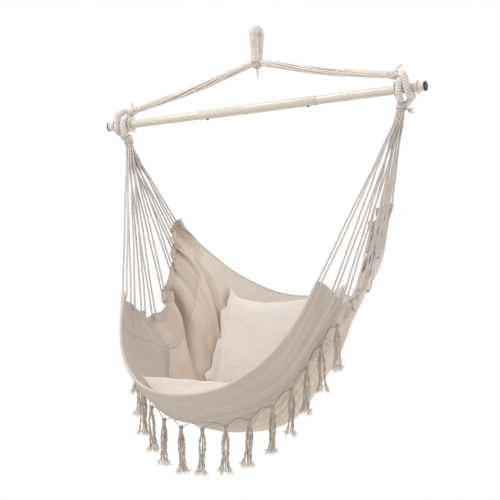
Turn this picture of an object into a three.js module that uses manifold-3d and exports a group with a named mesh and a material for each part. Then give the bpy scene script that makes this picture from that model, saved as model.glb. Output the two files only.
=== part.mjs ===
import * as THREE from 'three';
import { mergeVertices } from 'three/addons/utils/BufferGeometryUtils.js';
import Module from 'manifold-3d';

const wasm = await Module();
wasm.setup();

// Hanging hammock chair. Lengths are in millimetres.
// The origin is where the hook bears, at the inner top of the hang eye.
// +X runs along the spreader bar to the right, -Y to the front, +Z up.

// Clearances
const gap = 0.3;
const overrun = 4;

// Hang eye: a sleeved rope bent into a narrow loop, seen edge on from the front
const eyeRopeRadius = 10;
const eyeArchRadius = 19;
const eyeArchHeight = 205;
const eyeThroatHeight = 152;
const eyeRibPitch = 8.5;
const eyeRibDepth = 0.9;
const eyeArchSteps = 8;

// Lashing that ties the eye to the slings, round like a ball so the chair can swing under the eye
const lashingHeight = 128;
const lashingRadius = 17;
const lashingGrooveDepth = 1.6;
const tailLength = 26;
const cordRadius = 2.5;

// Spreader bar, three tubes
const barLength = 1000;
const endTubeRadius = 12.2;
const tubeWall = 1.2;
const middleTubeLength = 374;
const tubePlugLength = 60;

// Snap buttons that lock the three tubes together
const buttonInset = 27;
const buttonRadius = 4;
const buttonProud = 3;
const buttonFlangeRadius = 5.4;
const buttonFlangeHeight = 1;
const springWidth = 6;
const springThickness = 0.8;
const springLength = 34;

// Collars and caps on the bar ends
const innerFlangeRadius = 25;
const innerFlangeWidth = 3;
const innerFlangeInset = 81;
const outerRingRadius = 18.5;
const outerRingWidth = 3;
const outerRingInset = 22;
const capRadius = 13.5;
const capSkirt = 8;
const capPlugLength = 12;
const capCrown = 1.6;
const edgeRound = 0.8;

// Slings: a loose bundle of cords from the lashing to each end of the bar
const slingRadius = 11.2;
const slingStrands = 7;
const slingStrandDepth = 2;
const slingEndInset = 102;
const slingEndHeight = 42.5;
const slingSag = 7;
const slingTurns = 0.6;
const knotLength = 34;
const knotRadius = 12;

// Sleeved rope wound one and a half turns round each end of the bar
const wrapRopeRadius = 10;
const wrapRibPitch = 9;
const wrapRibDepth = 1.1;
const wrapInnerInset = 66;
const wrapOuterInset = 42.5;
const wrapStartInset = 76;
const wrapPointsPerTurn = 24;
const neckSeatRadius = 38;

// Turn 0 is above the bar, 0.25 in front of it, 0.5 under it and 0.75 behind it.
// The rope comes in over its own inner strand, goes round at the outer place,
// comes back at the inner place and leaves below the bar.
const wrapTurnShares = {
  start: -0.07,
  overFrom: -0.14,
  overTo: 0.16,
  settle: 0.28,
  backFrom: 0.5,
  backTo: 1,
  leave: 1.2,
  end: 1.5,
};

// Neck below each bar end, where the rope divides into the cords of the seat
const neckTopInset = 67;
const neckBottomInset = 73;
const neckBottomDrop = 68;
const neckFlareShare = 0.75;
const neckWaistRadius = 8.2;
const neckFootRadius = 13.6;
const bindingCordRadius = 2.3;
const bindingPitch = 5.1;
const bindingLoops = 3;
const bindingStepsPerLoop = 24;
const bindingTopDrop = 41;

// Seat cloth, held by nine cord loops a side: a main panel, a doubled strip along the front,
// and a doubled hem strip down each side
const clothThickness = 3;
const seatHalfWidth = 344;
const rimReach = 380;
const seatDrop = 886;
const hemDepth = 28;
const eyeletInset = 12;
const cordBendRadius = 5.9;
const neckCordRing = 10.5;
const neckCordInnerRing = 5.4;
const cordLead = 7;
const cordBendSteps = 5;

// Front band: a doubled strip sewn along the front edge, with the fringe on its lower edge
const bandThickness = 2;
const bandLift = 3;

// Knotted fringe
const tasselCount = 15;
const fringeEndInset = 11;
const tasselLength = 118;
const tasselHeadRadius = 6.5;
const tasselNeckRadius = 5;
const tasselEndRadius = 12;
const fringeDrop = 14;
const fringeCordRadius = 1.3;

// Cushions
const seatCushionHeight = 116;
const seatCushionSeam = 14;
const pillowWidth = 390;
const pillowTall = 325;
const pillowHeight = 120;
const pillowAside = 34;
const pillowBack = 168;
const pillowDrop = 616;
const pillowLean = 25;
const pillowSag = 45;
const beddingDepth = 60;
const drawnInShare = 0.06;
const cushionCells = 12;
const cushionAcrossShares = [0.56, 0.44];
const cushionRowShares = [0.065, 0.5];
const cushionFullness = 3;
const pillowFullness = 2.4;

const barDrop = eyeArchHeight + eyeArchRadius - eyeRopeRadius;
const middleTubeRadius = endTubeRadius + gap + tubeWall;
const halfBar = barLength / 2;
const middleHalf = middleTubeLength / 2;
const wrapInnerPlace = halfBar - wrapInnerInset;
const wrapOuterPlace = halfBar - wrapOuterInset;
const wrapStartPlace = halfBar - wrapStartInset;
const pivot = new THREE.Vector3(0, 0, lashingHeight);

// Eyelets from the front corner to the back corner, in shares of half width, reach and drop
const eyeletShares = [
  [0.849, -0.545, -0.587],
  [0.878, -0.403, -0.619],
  [0.889, -0.253, -0.632],
  [0.907, -0.1, -0.636],
  [0.93, 0.075, -0.575],
  [0.953, 0.19, -0.472],
  [0.971, 0.232, -0.4],
  [0.985, 0.262, -0.35],
  [1, 0.318, -0.316],
];

// Middle line of the seat from the front edge to the top of the back, in shares of reach and drop
const profileShares = [
  [-1, -0.896],
  [-0.72, -0.962],
  [-0.35, -1],
  [0, -0.991],
  [0.29, -0.92],
  [0.526, -0.796],
  [0.69, -0.677],
  [0.803, -0.564],
];

// Where the grid lines of the cloth run, from the middle line to the start of the side hem
const columnShares = [0, 0.17, 0.34, 0.5, 0.65, 0.78, 0.89, 1];
const hemSeamColumn = 6;
const stripSeamRow = 7;
const stripMiddleShare = 0.49;
const rowCells = eyeletShares.length * 2;
const cornerShare = 0.3;
const bandRowShares = [0.134, 0.215];
const bandLines = 4;
const scallopShare = 0.3;
const bulgeShares = [0.27, 0.1];
const risePowers = [2.3, 2];
const reachPowers = [2.1, 2.7];
const pinchShare = 0.8;
const pinchBulgeShare = 0.12;
const pinchPower = 1.4;

// How far the cloth ruffles out in each space between two eyelets, from front to back
const ruffleShares = [0.2, 0.2, 0.15, -0.08, 0.25, 0.3, 0.35, 0.3];
const rufflePower = 4;

// Basic builders

function finish(name, geometry, look) {
  const material = new THREE.MeshStandardMaterial(look);
  const mesh = new THREE.Mesh(geometry, material);
  mesh.name = name;
  return mesh;
}

const cotton = { color: '#d9d0cb', roughness: 0.95, metalness: 0 };
const canvas = { color: '#d9cbbd', roughness: 0.97, metalness: 0 };
const bandCloth = { color: '#cfc4bb', roughness: 0.97, metalness: 0 };
const cushionCloth = { color: '#e3dad3', roughness: 0.95, metalness: 0 };
const paint = { color: '#e6e0d0', roughness: 0.35, metalness: 0.2 };
const steel = { color: '#a9a9a6', roughness: 0.35, metalness: 0.9 };
const rubber = { color: '#2e3a38', roughness: 0.7, metalness: 0 };

function signedVolume(points, faces) {
  let sum = 0;
  for (const [a, b, c] of faces) {
    const cross = new THREE.Vector3().crossVectors(points[b], points[c]);
    sum += points[a].dot(cross);
  }
  return sum;
}

// A closed mesh from corner points and triangles, turned so that its faces point out
function closedGeometry(points, faces) {
  const inward = signedVolume(points, faces) < 0;
  const index = [];
  for (const [a, b, c] of faces) {
    index.push(a, inward ? c : b, inward ? b : c);
  }
  const geometry = new THREE.BufferGeometry();
  geometry.setFromPoints(points);
  geometry.setIndex(index);
  return geometry;
}

// The same geometry with its faces turned to point out
function outward(geometry) {
  const place = geometry.attributes.position;
  const points = [];
  for (let i = 0; i < place.count; i += 1) {
    points.push(new THREE.Vector3().fromBufferAttribute(place, i));
  }
  const faces = [];
  for (let i = 0; i < geometry.index.count; i += 3) {
    faces.push([0, 1, 2].map((k) => geometry.index.getX(i + k)));
  }
  return closedGeometry(points, faces);
}

function toSolid(geometry) {
  const bare = geometry.clone();
  bare.deleteAttribute('normal');
  bare.deleteAttribute('uv');
  const merged = mergeVertices(bare);
  return new wasm.Manifold(new wasm.Mesh({
    numProp: 3,
    vertProperties: new Float32Array(merged.attributes.position.array),
    triVerts: new Uint32Array(merged.index.array),
  }));
}

function toGeometry(solid) {
  const mesh = solid.getMesh();
  const geometry = new THREE.BufferGeometry();
  geometry.setAttribute('position', new THREE.BufferAttribute(mesh.vertProperties, 3));
  geometry.setIndex(new THREE.BufferAttribute(mesh.triVerts, 1));
  return geometry;
}

function cut(geometry, ...tools) {
  let solid = toSolid(geometry);
  for (const tool of tools) {
    solid = solid.subtract(toSolid(tool));
  }
  return toGeometry(solid);
}

function join(geometry, ...others) {
  let solid = toSolid(geometry);
  for (const other of others) {
    solid = solid.add(toSolid(other));
  }
  return toGeometry(solid);
}

// Skin over rings of the same number of points, closed at both ends
function skin(rings) {
  const count = rings[0].length;
  const points = rings.flat();
  const faces = [];
  for (let r = 0; r + 1 < rings.length; r += 1) {
    for (let i = 0; i < count; i += 1) {
      const a = r * count + i;
      const b = r * count + (i + 1) % count;
      faces.push([a, b, b + count], [a, b + count, a + count]);
    }
  }
  for (const [ring, flip] of [[0, true], [rings.length - 1, false]]) {
    const middle = new THREE.Vector3();
    rings[ring].forEach((p) => middle.add(p));
    points.push(middle.divideScalar(count));
    const hub = points.length - 1;
    for (let i = 0; i < count; i += 1) {
      const a = ring * count + i;
      const b = ring * count + (i + 1) % count;
      faces.push(flip ? [hub, b, a] : [hub, a, b]);
    }
  }
  return closedGeometry(points, faces);
}

// A route through given points, walked point by point and not by length
class Route extends THREE.Curve {
  constructor(points) {
    super();
    this.points = points;
  }

  getPoint(u, target = new THREE.Vector3()) {
    const last = this.points.length - 1;
    const place = Math.min(u, 1) * last;
    const i = Math.min(Math.floor(place), last - 1);
    return target.lerpVectors(this.points[i], this.points[i + 1], place - i);
  }

  getPointAt(u, target) {
    return this.getPoint(u, target);
  }

  getSpacedPoints() {
    return this.points.map((p) => p.clone());
  }

  getTangentAt(u, target = new THREE.Vector3()) {
    const last = this.points.length - 1;
    const i = Math.round(u * last);
    const before = this.points[Math.max(i - 1, 0)];
    const after = this.points[Math.min(i + 1, last)];
    return target.subVectors(after, before).normalize();
  }
}

function circleShape(radius, sides) {
  const shape = new THREE.Shape();
  for (let i = 0; i < sides; i += 1) {
    const angle = (i / sides) * Math.PI * 2;
    const x = radius * Math.cos(angle);
    const y = radius * Math.sin(angle);
    if (i === 0) shape.moveTo(x, y);
    else shape.lineTo(x, y);
  }
  shape.closePath();
  return shape;
}

// A round tube through the given points
function tube(points, radius, sides) {
  return new THREE.ExtrudeGeometry(circleShape(radius, sides), {
    steps: points.length - 1,
    extrudePath: new Route(points),
  });
}

// Rings square to a curve; radiusAt(share, angle) gives the section
function ringsAlong(curve, steps, sides, radiusAt, turns = 0) {
  const frames = curve.computeFrenetFrames(steps, false);
  const rings = [];
  for (let i = 0; i <= steps; i += 1) {
    const share = i / steps;
    const centre = curve.getPointAt(share);
    const ring = [];
    for (let k = 0; k < sides; k += 1) {
      const angle = (k / sides + turns * share) * Math.PI * 2;
      const radius = radiusAt(share, k, i);
      ring.push(centre.clone()
        .addScaledVector(frames.normals[i], radius * Math.cos(angle))
        .addScaledVector(frames.binormals[i], radius * Math.sin(angle)));
    }
    rings.push(ring);
  }
  return rings;
}

// A rope in a gathered sleeve: eight sides, with a crest and a hollow for each rib
function ribbedRope(curve, radius, pitch, depth) {
  const ribs = Math.round(curve.getLength() / pitch);
  const sides = 8;
  const rings = ringsAlong(curve, ribs * 2, sides, (share, k, i) => (
    i % 2 === 1 ? radius : radius - depth
  ));
  return skin(rings);
}

// A lobed bundle of strands, laid with a slow twist
function strandBundle(curve, radiusAt, strands, depth, turns, steps) {
  const rings = ringsAlong(curve, steps, strands * 2, (share, k) => (
    k % 2 === 0 ? radiusAt(share) : radiusAt(share) - depth
  ), turns);
  return skin(rings);
}

// A body of revolution about the bar's axis, from (place, radius) pairs
function turnedOnBar(pairs, segments) {
  const profile = pairs.map(([place, radius]) => new THREE.Vector2(radius, place));
  const geometry = new THREE.LatheGeometry(profile, segments);
  geometry.rotateZ(-Math.PI / 2);
  return outward(geometry);
}

// A body of revolution about the vertical axis, from (radius, height) pairs
function turnedUpright(pairs, segments) {
  const geometry = new THREE.LatheGeometry(pairs.map(([r, h]) => new THREE.Vector2(r, h)), segments);
  geometry.rotateX(Math.PI / 2);
  return outward(geometry);
}

function hollowTube(from, to, inner, outer, segments) {
  return turnedOnBar([[from, inner], [to, inner], [to, outer], [from, outer], [from, inner]], segments);
}

function mirrored(side, x, y, z) {
  return new THREE.Vector3(side * x, y, z);
}

function lerp(a, b, share) {
  return a + (b - a) * share;
}

function sideName(side) {
  return side < 0 ? 'left' : 'right';
}

// Hang eye

function eyeCurve() {
  const legPlace = eyeRopeRadius + gap;
  const points = [];
  points.push(new THREE.Vector3(0, -legPlace, lashingHeight));
  points.push(new THREE.Vector3(0, -legPlace, eyeThroatHeight));
  for (let i = 0; i <= eyeArchSteps; i += 1) {
    const angle = Math.PI * (1 - i / eyeArchSteps);
    points.push(new THREE.Vector3(
      0,
      eyeArchRadius * Math.cos(angle),
      eyeArchHeight + eyeArchRadius * Math.sin(angle),
    ));
  }
  points.push(new THREE.Vector3(0, legPlace, eyeThroatHeight));
  points.push(new THREE.Vector3(0, legPlace, lashingHeight));
  return new THREE.CatmullRomCurve3(points, false, 'centripetal');
}

function ballAt(radius) {
  const ball = new THREE.SphereGeometry(radius, 24, 16);
  ball.translate(pivot.x, pivot.y, pivot.z);
  return ball;
}

function hangEye() {
  const rope = ribbedRope(eyeCurve(), eyeRopeRadius, eyeRibPitch, eyeRibDepth);
  return finish('hang_eye', cut(rope, ballAt(lashingRadius + gap)), cotton);
}

// The lashing is a knot of six turned lobes that fills a ball, with one cord end hanging from it
function eyeLashing() {
  const lobes = 6;
  const steps = 8;
  const rings = [];
  for (let i = 1; i < steps; i += 1) {
    const polar = (i / steps) * Math.PI;
    const ring = [];
    for (let k = 0; k < lobes * 2; k += 1) {
      const angle = (k / (lobes * 2) + i / steps / 2) * Math.PI * 2;
      const radius = k % 2 === 0 ? lashingRadius : lashingRadius - lashingGrooveDepth;
      ring.push(new THREE.Vector3(
        radius * Math.sin(polar) * Math.cos(angle),
        radius * Math.sin(polar) * Math.sin(angle),
        pivot.z + radius * Math.cos(polar),
      ));
    }
    rings.push(ring);
  }
  const tailTop = pivot.z - lashingRadius + overrun;
  const tail = tube([
    new THREE.Vector3(0, 0, tailTop),
    new THREE.Vector3(0, 0, tailTop - tailLength / 2),
    new THREE.Vector3(cordRadius / 2, 0, tailTop - tailLength - overrun),
  ], cordRadius, 8);
  return finish('eye_lashing', join(skin(rings), tail), cotton);
}

// Slings and their knots

function slingEnd(side) {
  return mirrored(side, halfBar - slingEndInset, 0, slingEndHeight);
}

function slingCurve(side) {
  const start = mirrored(side, lashingRadius - overrun, 0, lashingHeight);
  const end = slingEnd(side);
  const middle = start.clone().lerp(end, 0.5);
  middle.z -= slingSag;
  return new THREE.CatmullRomCurve3([start, middle, end]);
}

function sling(side) {
  const bundle = strandBundle(
    slingCurve(side),
    () => slingRadius,
    slingStrands,
    slingStrandDepth,
    slingTurns * side,
    12,
  );
  return finish(`${sideName(side)}_sling`, cut(bundle, ballAt(lashingRadius + gap)), cotton);
}

// Each knot is a barrel of lobes between the sling and the wound rope
function slingKnot(side) {
  const heading = slingCurve(side).getTangentAt(1);
  const start = slingEnd(side).addScaledVector(heading, gap);
  const end = start.clone().addScaledVector(heading, knotLength);
  const lobes = 5;
  const barrel = (share) => lerp(slingRadius, knotRadius, Math.sin(share * Math.PI));
  const knot = strandBundle(
    new THREE.LineCurve3(start, end),
    barrel,
    lobes,
    slingStrandDepth,
    side / lobes,
    6,
  );
  const rope = skin(ringsAlong(wrapCurve(side), wrapSteps(side), 8, () => wrapRopeRadius + gap));
  return finish(`${sideName(side)}_sling_knot`, cut(knot, rope), cotton);
}

// Sleeved rope wound on the bar

function smoothShare(value, from, to) {
  return THREE.MathUtils.smoothstep(value, from, to);
}

function wrapPoint(side, turn) {
  const close = middleTubeRadius - tubeWall + wrapRopeRadius + gap;
  const over = close + wrapRopeRadius * 2 + gap * 2;
  const inward = smoothShare(turn, 0, wrapTurnShares.settle);
  const away = smoothShare(turn, wrapTurnShares.leave, wrapTurnShares.end + wrapTurnShares.settle);
  const radius = lerp(lerp(over, close, inward), neckSeatRadius + wrapRopeRadius * 2, away);
  const across = smoothShare(turn, wrapTurnShares.overFrom, wrapTurnShares.overTo);
  const back = smoothShare(turn, wrapTurnShares.backFrom, wrapTurnShares.backTo);
  const place = lerp(lerp(wrapStartPlace, wrapOuterPlace, across), wrapInnerPlace, back);
  const angle = turn * Math.PI * 2;
  return mirrored(side, place, -radius * Math.sin(angle), radius * Math.cos(angle));
}

function wrapCurve(side) {
  const points = [];
  const count = Math.round((wrapTurnShares.end - wrapTurnShares.start) * wrapPointsPerTurn);
  for (let i = 0; i <= count; i += 1) {
    points.push(wrapPoint(side, lerp(wrapTurnShares.start, wrapTurnShares.end, i / count)));
  }
  return new THREE.CatmullRomCurve3(points);
}

function wrapSteps(side) {
  return Math.round(wrapCurve(side).getLength() / wrapRibPitch) * 2;
}

// A disc about the bar's axis with its rim at the given radius
function barDisc(radius) {
  const reach = wrapOuterPlace + wrapRopeRadius * 2;
  const from = wrapStartPlace - wrapRopeRadius * 2;
  return turnedOnBar([[from, 0], [from, radius], [reach, radius], [reach, 0]], 48);
}

function barWrap(side) {
  const rope = ribbedRope(wrapCurve(side), wrapRopeRadius, wrapRibPitch, wrapRibDepth);
  // Below the bar, everything beyond the seat radius belongs to the neck
  const outside = new THREE.BoxGeometry(barLength, neckSeatRadius * 4, neckSeatRadius * 2);
  outside.translate(0, 0, -neckSeatRadius - endTubeRadius - gap);
  const disc = barDisc(neckSeatRadius);
  const below = toSolid(outside).subtract(toSolid(side > 0 ? disc : disc.rotateZ(Math.PI)));
  return finish(`${sideName(side)}_bar_wrap`, toGeometry(toSolid(rope).subtract(below)), cotton);
}

function leastWrapGap() {
  const points = wrapCurve(1).getSpacedPoints(200);
  const skip = Math.ceil(points.length / 4);
  let least = Infinity;
  for (let i = 0; i < points.length; i += 1) {
    for (let k = i + skip; k < points.length; k += 1) {
      least = Math.min(least, points[i].distanceTo(points[k]));
    }
  }
  return least - wrapRopeRadius * 2;
}

// Neck and its binding

function neckAxis(side) {
  return {
    top: mirrored(side, halfBar - neckTopInset, 0, -neckSeatRadius + overrun),
    foot: mirrored(side, halfBar - neckBottomInset, 0, -neckBottomDrop),
  };
}

function neck(side) {
  const { top, foot } = neckAxis(side);
  const widthAt = (share) => (
    lerp(neckWaistRadius, neckFootRadius, Math.max(share - neckFlareShare, 0) / (1 - neckFlareShare))
  );
  const rings = ringsAlong(new THREE.LineCurve3(top, foot), 8, 16, widthAt);
  const disc = barDisc(neckSeatRadius + gap);
  if (side < 0) disc.rotateZ(Math.PI);
  return finish(`${sideName(side)}_neck`, cut(skin(rings), disc), cotton);
}

function bindingPoints(side) {
  const { top, foot } = neckAxis(side);
  const down = foot.clone().sub(top).normalize();
  const front = new THREE.Vector3(0, -1, 0);
  const across = new THREE.Vector3().crossVectors(down, front);
  const start = top.clone().addScaledVector(down, (bindingTopDrop + top.z) / -down.z);
  const radius = neckWaistRadius + gap + bindingCordRadius;
  const count = Math.round(bindingLoops * bindingStepsPerLoop);
  const points = [];
  for (let i = 0; i <= count; i += 1) {
    const angle = (i / bindingStepsPerLoop) * Math.PI * 2;
    points.push(start.clone()
      .addScaledVector(front, radius * Math.cos(angle))
      .addScaledVector(across, radius * Math.sin(angle))
      .addScaledVector(down, bindingPitch * (i / bindingStepsPerLoop)));
  }
  const lead = points[0].clone().sub(points[1]).setLength(bindingCordRadius * 2);
  const trail = points[count].clone().sub(points[count - 1]).setLength(bindingCordRadius * 2);
  points.unshift(points[0].clone().add(lead));
  points.push(points[points.length - 1].clone().add(trail));
  return points;
}

function neckBinding(side) {
  return finish(`${sideName(side)}_neck_binding`, tube(bindingPoints(side), bindingCordRadius, 6), cotton);
}

// Spreader bar

function buttonPlace(side) {
  return side * (middleHalf - buttonInset);
}

function buttonHole(side, radius) {
  const hole = new THREE.CylinderGeometry(radius, radius, middleTubeRadius + overrun, 16);
  hole.rotateX(Math.PI / 2);
  hole.translate(buttonPlace(side), 0, -(middleTubeRadius + overrun) / 2);
  return hole;
}

function middleTube() {
  const shell = hollowTube(-middleHalf, middleHalf, endTubeRadius + gap, middleTubeRadius, 24);
  const holes = [-1, 1].map((side) => buttonHole(side, buttonRadius + gap));
  return finish('bar_middle_tube', cut(shell, ...holes), paint);
}

function endTube(side) {
  const from = middleHalf - tubePlugLength;
  const shell = hollowTube(from, halfBar, endTubeRadius - tubeWall, endTubeRadius, 24);
  if (side < 0) shell.rotateZ(Math.PI);
  return finish(`bar_${sideName(side)}_tube`, cut(shell, buttonHole(side, buttonRadius + gap)), paint);
}

function snapButton(side) {
  const inside = endTubeRadius - tubeWall;
  const tip = middleTubeRadius + buttonProud;
  const shoulder = tip - buttonRadius / 2;
  const flangeOut = Math.sqrt(inside ** 2 - buttonFlangeRadius ** 2) - gap;
  const flangeIn = flangeOut - buttonFlangeHeight;
  const domeSteps = 3;
  const profile = [[0, -flangeIn], [buttonFlangeRadius, -flangeIn], [buttonFlangeRadius, -flangeOut],
    [buttonRadius, -flangeOut]];
  for (let i = 0; i < domeSteps; i += 1) {
    const angle = (i / domeSteps) * (Math.PI / 2);
    profile.push([buttonRadius * Math.cos(angle), -shoulder - (buttonRadius / 2) * Math.sin(angle)]);
  }
  profile.push([0, -tip]);
  const button = turnedUpright(profile, 16);
  const mesh = finish(`${sideName(side)}_snap_button`, button, steel);
  mesh.position.x = buttonPlace(side);
  return mesh;
}

// A leaf bent into a V: its lower arm bears on the button, its upper arm under the top of the tube
function buttonSpring(side) {
  const inside = endTubeRadius - tubeWall;
  const flangeOut = Math.sqrt(inside ** 2 - buttonFlangeRadius ** 2) - gap;
  const low = -flangeOut + buttonFlangeHeight + gap;
  const high = Math.sqrt(inside ** 2 - (springWidth / 2) ** 2) - gap;
  const back = buttonFlangeRadius + springThickness;
  const bend = springLength - back;
  const shape = new THREE.Shape();
  shape.moveTo(-back, low);
  shape.lineTo(buttonFlangeRadius, low);
  shape.lineTo(bend, 0);
  shape.lineTo(-back, high);
  shape.lineTo(-back, high - springThickness);
  shape.lineTo(bend - springThickness * 3, 0);
  shape.lineTo(buttonFlangeRadius, low + springThickness);
  shape.lineTo(-back, low + springThickness);
  shape.closePath();
  const leaf = new THREE.ExtrudeGeometry(shape, { depth: springWidth, bevelEnabled: false });
  leaf.rotateX(Math.PI / 2);
  leaf.translate(0, springWidth / 2, 0);
  if (side < 0) leaf.rotateZ(Math.PI);
  const mesh = finish(`${sideName(side)}_button_spring`, leaf, steel);
  mesh.position.x = buttonPlace(side);
  return mesh;
}

function collar(name, side, place, radius, width) {
  const inner = endTubeRadius + gap;
  const profile = [
    [place - width / 2, inner],
    [place - width / 2, radius - edgeRound],
    [place - width / 2 + edgeRound, radius],
    [place + width / 2 - edgeRound, radius],
    [place + width / 2, radius - edgeRound],
    [place + width / 2, inner],
    [place - width / 2, inner],
  ];
  const ring = turnedOnBar(profile, 20);
  if (side < 0) ring.rotateZ(Math.PI);
  return finish(`${sideName(side)}_${name}`, ring, paint);
}

function endCap(side) {
  const inner = endTubeRadius + gap;
  const plug = endTubeRadius - tubeWall - gap;
  const face = halfBar + gap;
  const profile = [
    [halfBar - capPlugLength, 0],
    [halfBar - capPlugLength, plug],
    [face, plug],
    [face, inner],
    [halfBar - capSkirt, inner],
    [halfBar - capSkirt, capRadius],
    [face + capCrown / 2, capRadius],
    [face + capCrown, capRadius - edgeRound],
    [face + capCrown, 0],
  ];
  const cap = turnedOnBar(profile, 20);
  if (side < 0) cap.rotateZ(Math.PI);
  return finish(`${sideName(side)}_end_cap`, cap, rubber);
}

// Seat cloth

const eyelets = eyeletShares.map(([x, y, z]) => (
  new THREE.Vector3(x * seatHalfWidth, y * rimReach, z * seatDrop)
));
const eyeletCurve = new THREE.CatmullRomCurve3(eyelets);
const profileCurve = new THREE.CatmullRomCurve3(profileShares.map(([y, z]) => (
  new THREE.Vector3(0, y * rimReach, z * seatDrop)
)));

// Point of the right side hem on a row; eyelets lie on the odd rows
function hemBase(row) {
  const share = (row - 1) / (rowCells - 2);
  const last = eyelets.length - 1;
  if (share < 0) return eyelets[0].clone().lerp(eyelets[1], share * last * cornerShare);
  if (share > 1) return eyelets[last].clone().lerp(eyelets[last - 1], (1 - share) * last * cornerShare);
  return eyeletCurve.getPoint(share);
}

function hemFrame(row) {
  const base = hemBase(row);
  const foot = neckAxis(1).foot;
  const pull = foot.clone().sub(base).normalize();
  const along = hemBase(Math.min(row + 1, rowCells)).sub(hemBase(Math.max(row - 1, 0))).normalize();
  const outward = new THREE.Vector3().crossVectors(along, pull).normalize();
  if (outward.x < 0) outward.negate();
  return { base, pull, along, outward };
}

// How far a row lies from an eyelet row: 0 on it, 1 half way between two
function betweenEyelets(row) {
  return Math.sin((row - 1) * Math.PI / 2) ** 2;
}

function hemPoint(row, inset) {
  const { base, pull, outward } = hemFrame(row);
  const spacing = hemBase(Math.max(row - 1, 0)).distanceTo(hemBase(Math.min(row + 1, rowCells))) / 2;
  const loose = betweenEyelets(row) * spacing;
  const space = THREE.MathUtils.clamp(Math.floor((row - 1) / 2), 0, ruffleShares.length - 1);
  return base
    .addScaledVector(pull, -inset - scallopShare * loose)
    .addScaledVector(outward, ruffleShares[space] * loose);
}

// A point of the cloth's middle surface. across runs from -1 to 1 between the side hems.
function clothPoint(across, row) {
  const side = Math.sign(across);
  const t = Math.abs(across);
  const v = row / rowCells;
  const middle = profileCurve.getPointAt(v);
  const hem = hemPoint(row, hemDepth);
  const flat = hemFrame(row);
  const plain = flat.base.addScaledVector(flat.pull, -hemDepth);
  const pinch = pinchShare * Math.sin(v ** pinchPower * Math.PI);
  const bulge = lerp(bulgeShares[0], bulgeShares[1], v) + pinch * pinchBulgeShare;
  const rise = t ** lerp(risePowers[0], risePowers[1], v);
  const reach = t ** lerp(reachPowers[0], reachPowers[1], v);
  const fold = t ** rufflePower;
  const width = (1 + bulge) * t - (bulge + pinch) * t ** 3 + pinch * t ** 5;
  const x = plain.x * width + (hem.x - plain.x) * fold;
  const y = lerp(middle.y, plain.y, reach) + (hem.y - plain.y) * fold;
  const z = lerp(middle.z, plain.z, rise) + (hem.z - plain.z) * fold;
  return new THREE.Vector3(side * x, y, z);
}

// Between the side hems the grid rows draw together towards the front strip's seam
function warpedRow(across, row) {
  const spread = Math.min(Math.abs(across) / columnShares[hemSeamColumn], 1) ** 2;
  const seam = stripSeamRow * lerp(stripMiddleShare, 1, spread);
  if (row <= stripSeamRow) return seam * (row / stripSeamRow);
  return lerp(seam, rowCells, (row - stripSeamRow) / (rowCells - stripSeamRow));
}

// The grid of the cloth, from the left hem's edge to the right hem's edge
function clothGrid() {
  const shares = [...columnShares.slice(1).reverse().map((t) => -t), ...columnShares];
  const grid = [];
  for (let row = 0; row <= rowCells; row += 1) {
    const edge = hemPoint(row, 0);
    const line = shares.map((t) => clothPoint(t, warpedRow(t, row)));
    line.unshift(new THREE.Vector3(-edge.x, edge.y, edge.z));
    line.push(edge);
    grid.push(line);
  }
  return grid;
}

// Normals of a grid, pointing away from the sitter
function gridNormals(grid) {
  const rows = grid.length;
  const columns = grid[0].length;
  return grid.map((line, r) => line.map((point, c) => {
    const along = grid[Math.min(r + 1, rows - 1)][c].clone().sub(grid[Math.max(r - 1, 0)][c]);
    const across = line[Math.min(c + 1, columns - 1)].clone().sub(line[Math.max(c - 1, 0)]);
    return along.cross(across).normalize();
  }));
}

// A closed sheet between two offsets of a grid; offsets are measured away from the sitter
function sheetBetween(grid, normals, innerAt, outerAt) {
  const rows = grid.length;
  const columns = grid[0].length;
  const points = [];
  for (const offsetAt of [innerAt, outerAt]) {
    grid.forEach((line, r) => line.forEach((point, c) => {
      points.push(point.clone().addScaledVector(normals[r][c], offsetAt(r, c)));
    }));
  }
  const at = (layer, r, c) => layer * rows * columns + r * columns + c;
  const faces = [];
  const quad = (a, b, c, d) => faces.push([a, b, c], [a, c, d]);
  for (let r = 0; r + 1 < rows; r += 1) {
    for (let c = 0; c + 1 < columns; c += 1) {
      quad(at(0, r, c), at(0, r, c + 1), at(0, r + 1, c + 1), at(0, r + 1, c));
      faces.push([at(1, r, c), at(1, r + 1, c + 1), at(1, r, c + 1)]);
      faces.push([at(1, r, c), at(1, r + 1, c), at(1, r + 1, c + 1)]);
    }
  }
  for (let c = 0; c + 1 < columns; c += 1) {
    quad(at(1, 0, c), at(1, 0, c + 1), at(0, 0, c + 1), at(0, 0, c));
    quad(at(0, rows - 1, c), at(0, rows - 1, c + 1), at(1, rows - 1, c + 1), at(1, rows - 1, c));
  }
  for (let r = 0; r + 1 < rows; r += 1) {
    quad(at(0, r, 0), at(0, r + 1, 0), at(1, r + 1, 0), at(1, r, 0));
    quad(at(1, r, columns - 1), at(1, r + 1, columns - 1), at(0, r + 1, columns - 1), at(0, r, columns - 1));
  }
  return closedGeometry(points, faces);
}

const seatGrid = clothGrid();
const seatNormals = gridNormals(seatGrid);

function mirrorVector(side, vector) {
  return new THREE.Vector3(side * vector.x, vector.y, vector.z);
}

// Middle of an eyelet, with the directions to the neck and out of the cloth
function eyelet(side, number) {
  const { base, pull, outward } = hemFrame(number * 2 + 1);
  return {
    centre: mirrorVector(side, base.addScaledVector(pull, -eyeletInset)),
    pull: mirrorVector(side, pull),
    outward: mirrorVector(side, outward),
  };
}

function eyeletHole(side, number) {
  const { centre, outward } = eyelet(side, number);
  const radius = cordRadius + gap * 4;
  const hole = new THREE.CylinderGeometry(radius, radius, hemDepth, 8);
  const up = new THREE.Vector3(0, 1, 0);
  hole.applyQuaternion(new THREE.Quaternion().setFromUnitVectors(up, outward));
  hole.translate(centre.x, centre.y, centre.z);
  return hole;
}

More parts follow.
